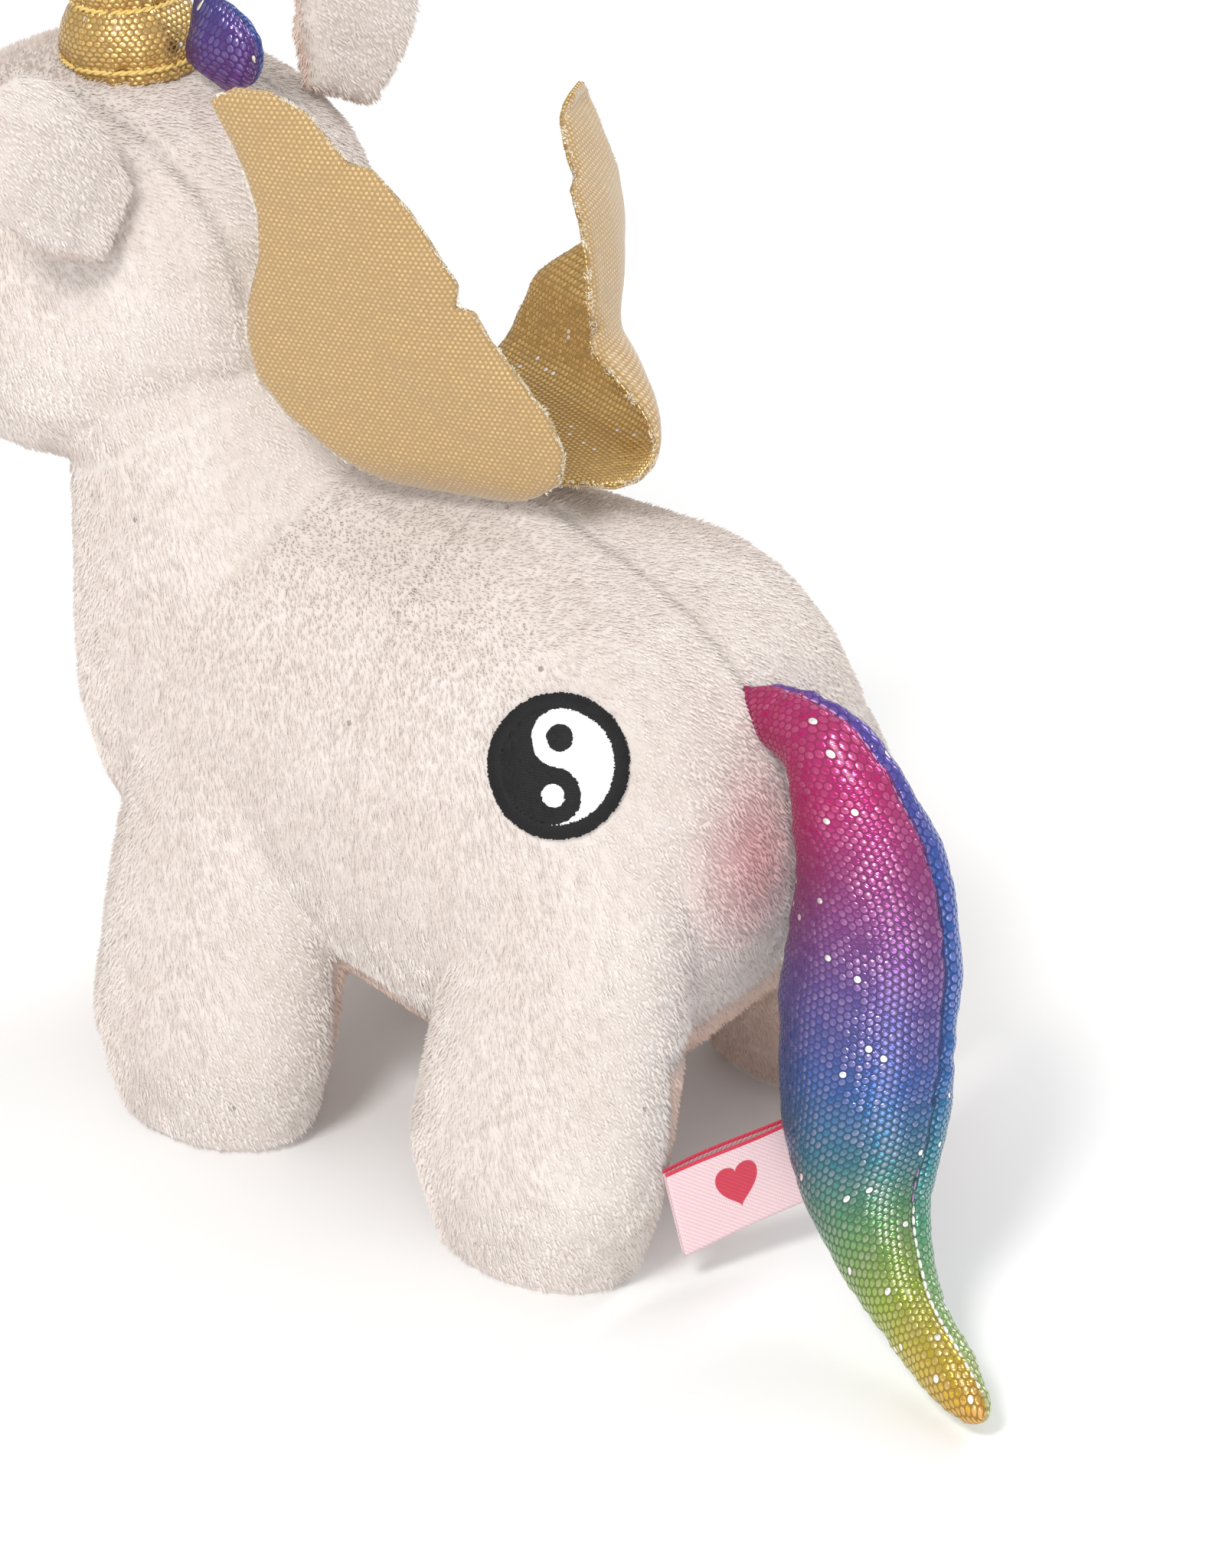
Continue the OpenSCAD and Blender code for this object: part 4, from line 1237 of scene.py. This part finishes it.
def makeEmblem(s):
    rand = random.Random(8)
    table = {}

    def rowRandom(row, salt):
        return table.setdefault((row, salt), rand.uniform(-1, 1))

    inner = s["radius"] - s["border"]
    n = int(2 * s["radius"] / s["step"]) + 3
    points, kinds, index = [], [], {}
    centre = Vector(s["at"]) * mm
    for i in range(n):
        for j in range(n):
            x, y = (i - n // 2) * s["step"], (j - n // 2) * s["step"]
            r = math.hypot(x, y)
            if r > s["radius"] + 0.15:
                continue
            start = centre + (emblemRight * x + emblemUp * y) * mm + emblemOut * 0.03
            hit, normal, _, _ = figureTree.ray_cast(start, -emblemOut)
            if hit is None:
                continue
            w = math.atan2(y, x)
            kind = emblemKind(x, y, s, inner, rowRandom, w)
            if kind == "border":
                across = (r - (inner + s["border"] / 2)) / (s["border"] / 2 + 0.1)
                body = math.sqrt(max(0, 1 - min(1, across * across)))
                h = s["lift"] + s["puff"] * body + s["twist"] * math.cos(w * 150) * body
                if r > s["radius"] - 0.12 + 0.14 * rowRandom(int(w * 60), 3):
                    h = -0.35
            else:
                row = math.floor(y / s["row"])
                along = (x + 2.1 * rowRandom(row, 4)) / 3.4
                dip = math.exp(-(((along % 1) - 0.5) / 0.06) ** 2)
                h = s["lift"] + s["rowPuff"] * abs(math.sin(math.pi * y / s["row"])) - 0.09 * dip
            index[(i, j)] = len(points)
            points.append(hit + (normal * 0.5 + emblemOut * 0.5) * (h * mm))
            kinds.append(kind)
    looks = {"border": ("emblemBorder", blackThread, "emblem_border", "black_thread"),
             "dark": ("emblemDark", blackThread, "emblem_dark", "black_thread"),
             "light": ("emblemLight", whiteThread, "emblem_light", "white_thread")}
    faces = {k: [] for k in looks}
    for (i, j), a in index.items():
        corners = [index.get(q) for q in ((i, j), (i + 1, j), (i + 1, j + 1), (i, j + 1))]
        if None not in corners:
            faces[kinds[a]].append(corners)
    for kind, (name, finish, nodeName, slotName) in looks.items():
        used = sorted({v for f in faces[kind] for v in f})
        renumber = {v: k for k, v in enumerate(used)}
        patch = newPiece(name, [points[v] for v in used], [[renumber[v] for v in f] for f in faces[kind]])
        patch.data.materials.append(finish)
        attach(patch, "stuffed_body")
        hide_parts(nodeName)


makeEmblem(emblemSetup)
print("emblem made")


labelSetup = {
    "at": (33.0, 61.8, 13.5), "turn": 152.0, "tilt": 12.0, "start": 0.6, "length": 23.0, "width": 16.0,
    "gap": 0.42, "ply": 0.26, "belly": 0.5, "wave": 0.35,
    "heartAt": (11.0, -0.4), "heartSize": 3.6, "edge": 0.55,
}


def makeLabelFinish(s):
    mat, tree, shader = newMaterial("labelRibbon", roughness=0.62, sheen=0.4)
    uv = tree.nodes.new("ShaderNodeUVMap")
    uv.uv_map = "cloth"
    weave = placeGroup(tree, clothWeave, Place=uv.outputs[0], Threads=2.4)
    parts = tree.nodes.new("ShaderNodeSeparateXYZ")
    feed(tree, uv.outputs[0], parts.inputs[0])
    # a plain heart, drawn by its outline formula
    off = [mathNode(tree, "SUBTRACT", parts.outputs[k], s["heartAt"][k]) for k in (0, 1)]
    x, y = (mathNode(tree, "DIVIDE", value, s["heartSize"]) for value in off)
    root = mathNode(tree, "SQRT", mathNode(tree, "ABSOLUTE", x))
    rise = mathNode(tree, "SUBTRACT", y, mathNode(tree, "MULTIPLY", root, 0.75))
    inside = mathNode(tree, "ADD", mathNode(tree, "MULTIPLY", x, x), mathNode(tree, "MULTIPLY", rise, rise))
    heart = mathNode(tree, "MULTIPLY", mathNode(tree, "SUBTRACT", 1.0, inside), 14)
    heart.node.use_clamp = True
    edgeLine = mathNode(tree, "GREATER_THAN", parts.outputs[1], s["width"] / 2 - s["edge"])
    red = mathNode(tree, "MAXIMUM", heart, edgeLine)
    ground = mixColours(tree, weave.outputs["Height"], (0.78, 0.50, 0.55), (0.93, 0.72, 0.74))
    feed(tree, mixColours(tree, red, ground, (0.62, 0.03, 0.07)), shader.inputs["Base Color"])
    bumpInto(tree, shader, weave.outputs["Height"], 0.6, 0.00012)
    return mat


def makeLabel(s):
    along, wide = 90, 26
    turn = Matrix.Rotation(math.radians(s["turn"]), 3, "Z") @ Matrix.Rotation(math.radians(-s["tilt"]), 3, "Y")
    end = s["length"] - s["gap"]
    total = 2 * end + math.pi * s["gap"]
    verts, uv = [], []
    for layer in (0, 1):
        for i in range(along + 1):
            q = total * i / along
            if q < end:
                x, y, nx, ny = q, -s["gap"], 0, -1
            elif q > total - end:
                x, y, nx, ny = total - q, s["gap"], 0, 1
            else:
                w = (q - end) / s["gap"]
                x, y, nx, ny = end + s["gap"] * math.sin(w), -s["gap"] * math.cos(w), math.sin(w), -math.cos(w)
            for j in range(wide + 1):
                v = -s["width"] / 2 + s["width"] * j / wide
                belly = s["belly"] * math.sin(math.pi * min(x, end) / end) * (1 if y > 0 else 0.4)
                wave = s["wave"] * math.sin(x / 5 + v / 9)
                off = s["ply"] * layer
                p = Vector((s["start"] + x + nx * off, y + ny * off + ny * belly + wave, v))
                verts.append((turn @ p + Vector(s["at"])) * mm)
                uv.append((q, v))
    label = newPiece("labelLoop", verts, sheetFaces(wide + 1, along + 1))
    faceOutward(label)
    cornerUv(label, uv)
    label.data.materials.append(makeLabelFinish(s))
    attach(label, "label")
    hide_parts("label_loop")


makeLabel(labelSetup)
print("label made")


# eyes, soles and the tail's knot keep their CAD shape
def dressNode(name, finish):
    data = cad[name].data
    data.materials.clear()
    data.materials.append(finish)


for name in ("eye_left", "eye_right"):
    dressNode(name, eyeGloss)
for name in ("sole_front_left", "sole_front_right", "sole_hind_left", "sole_hind_right"):
    dressNode(name, plush)
dressNode("tail_root_knot", violetThread)


# a small warm key lamp with two larger ones, and a white sky
lightSetup = {
    "sky": 0.74,
    "lamps": {
        "keyLight": {
            "place": (0.75, 0.15, 0.95), "aim": (0, 0, 0.08), "size": 0.3, "power": 6.5,
            "colour": (1, 0.985, 0.96),
        },
        "fillLight": {"place": (1.15, 1.0, 0.32), "aim": (0, 0, 0.05), "size": 0.9, "power": 5.5},
        "backLight": {"place": (-0.9, 0.2, 0.8), "aim": (0, 0, 0.1), "size": 0.5, "power": 4.0},
    },
}


def makeFloor():
    mat, tree, shader = newMaterial("floorPaper", roughness=0.9)
    shader.inputs["Base Color"].default_value = (0.93, 0.93, 0.93, 1)
    floor = newPiece("floor", [(-6, -6, 0), (6, -6, 0), (6, 6, 0), (-6, 6, 0)], [(0, 1, 2, 3)], False)
    floor.data.materials.append(mat)


def makeLight(name, place, aim, size, power, colour=(1, 1, 1)):
    data = bpy.data.lights.new(name, "AREA")
    data.shape, data.size, data.energy, data.color = "DISK", size, power, colour
    lamp = bpy.data.objects.new(name, data)
    scene.collection.objects.link(lamp)
    lamp.location = place
    lamp.rotation_euler = (Vector(place) - Vector(aim)).to_track_quat("Z", "Y").to_euler()


makeFloor()
world = bpy.data.worlds.new("studio")
world.use_nodes = True
sky = world.node_tree.nodes["Background"]
sky.inputs[0].default_value, sky.inputs[1].default_value = (1, 1, 1, 1), lightSetup["sky"]
scene.world = world
for name, values in lightSetup["lamps"].items():
    makeLight(name, **values)
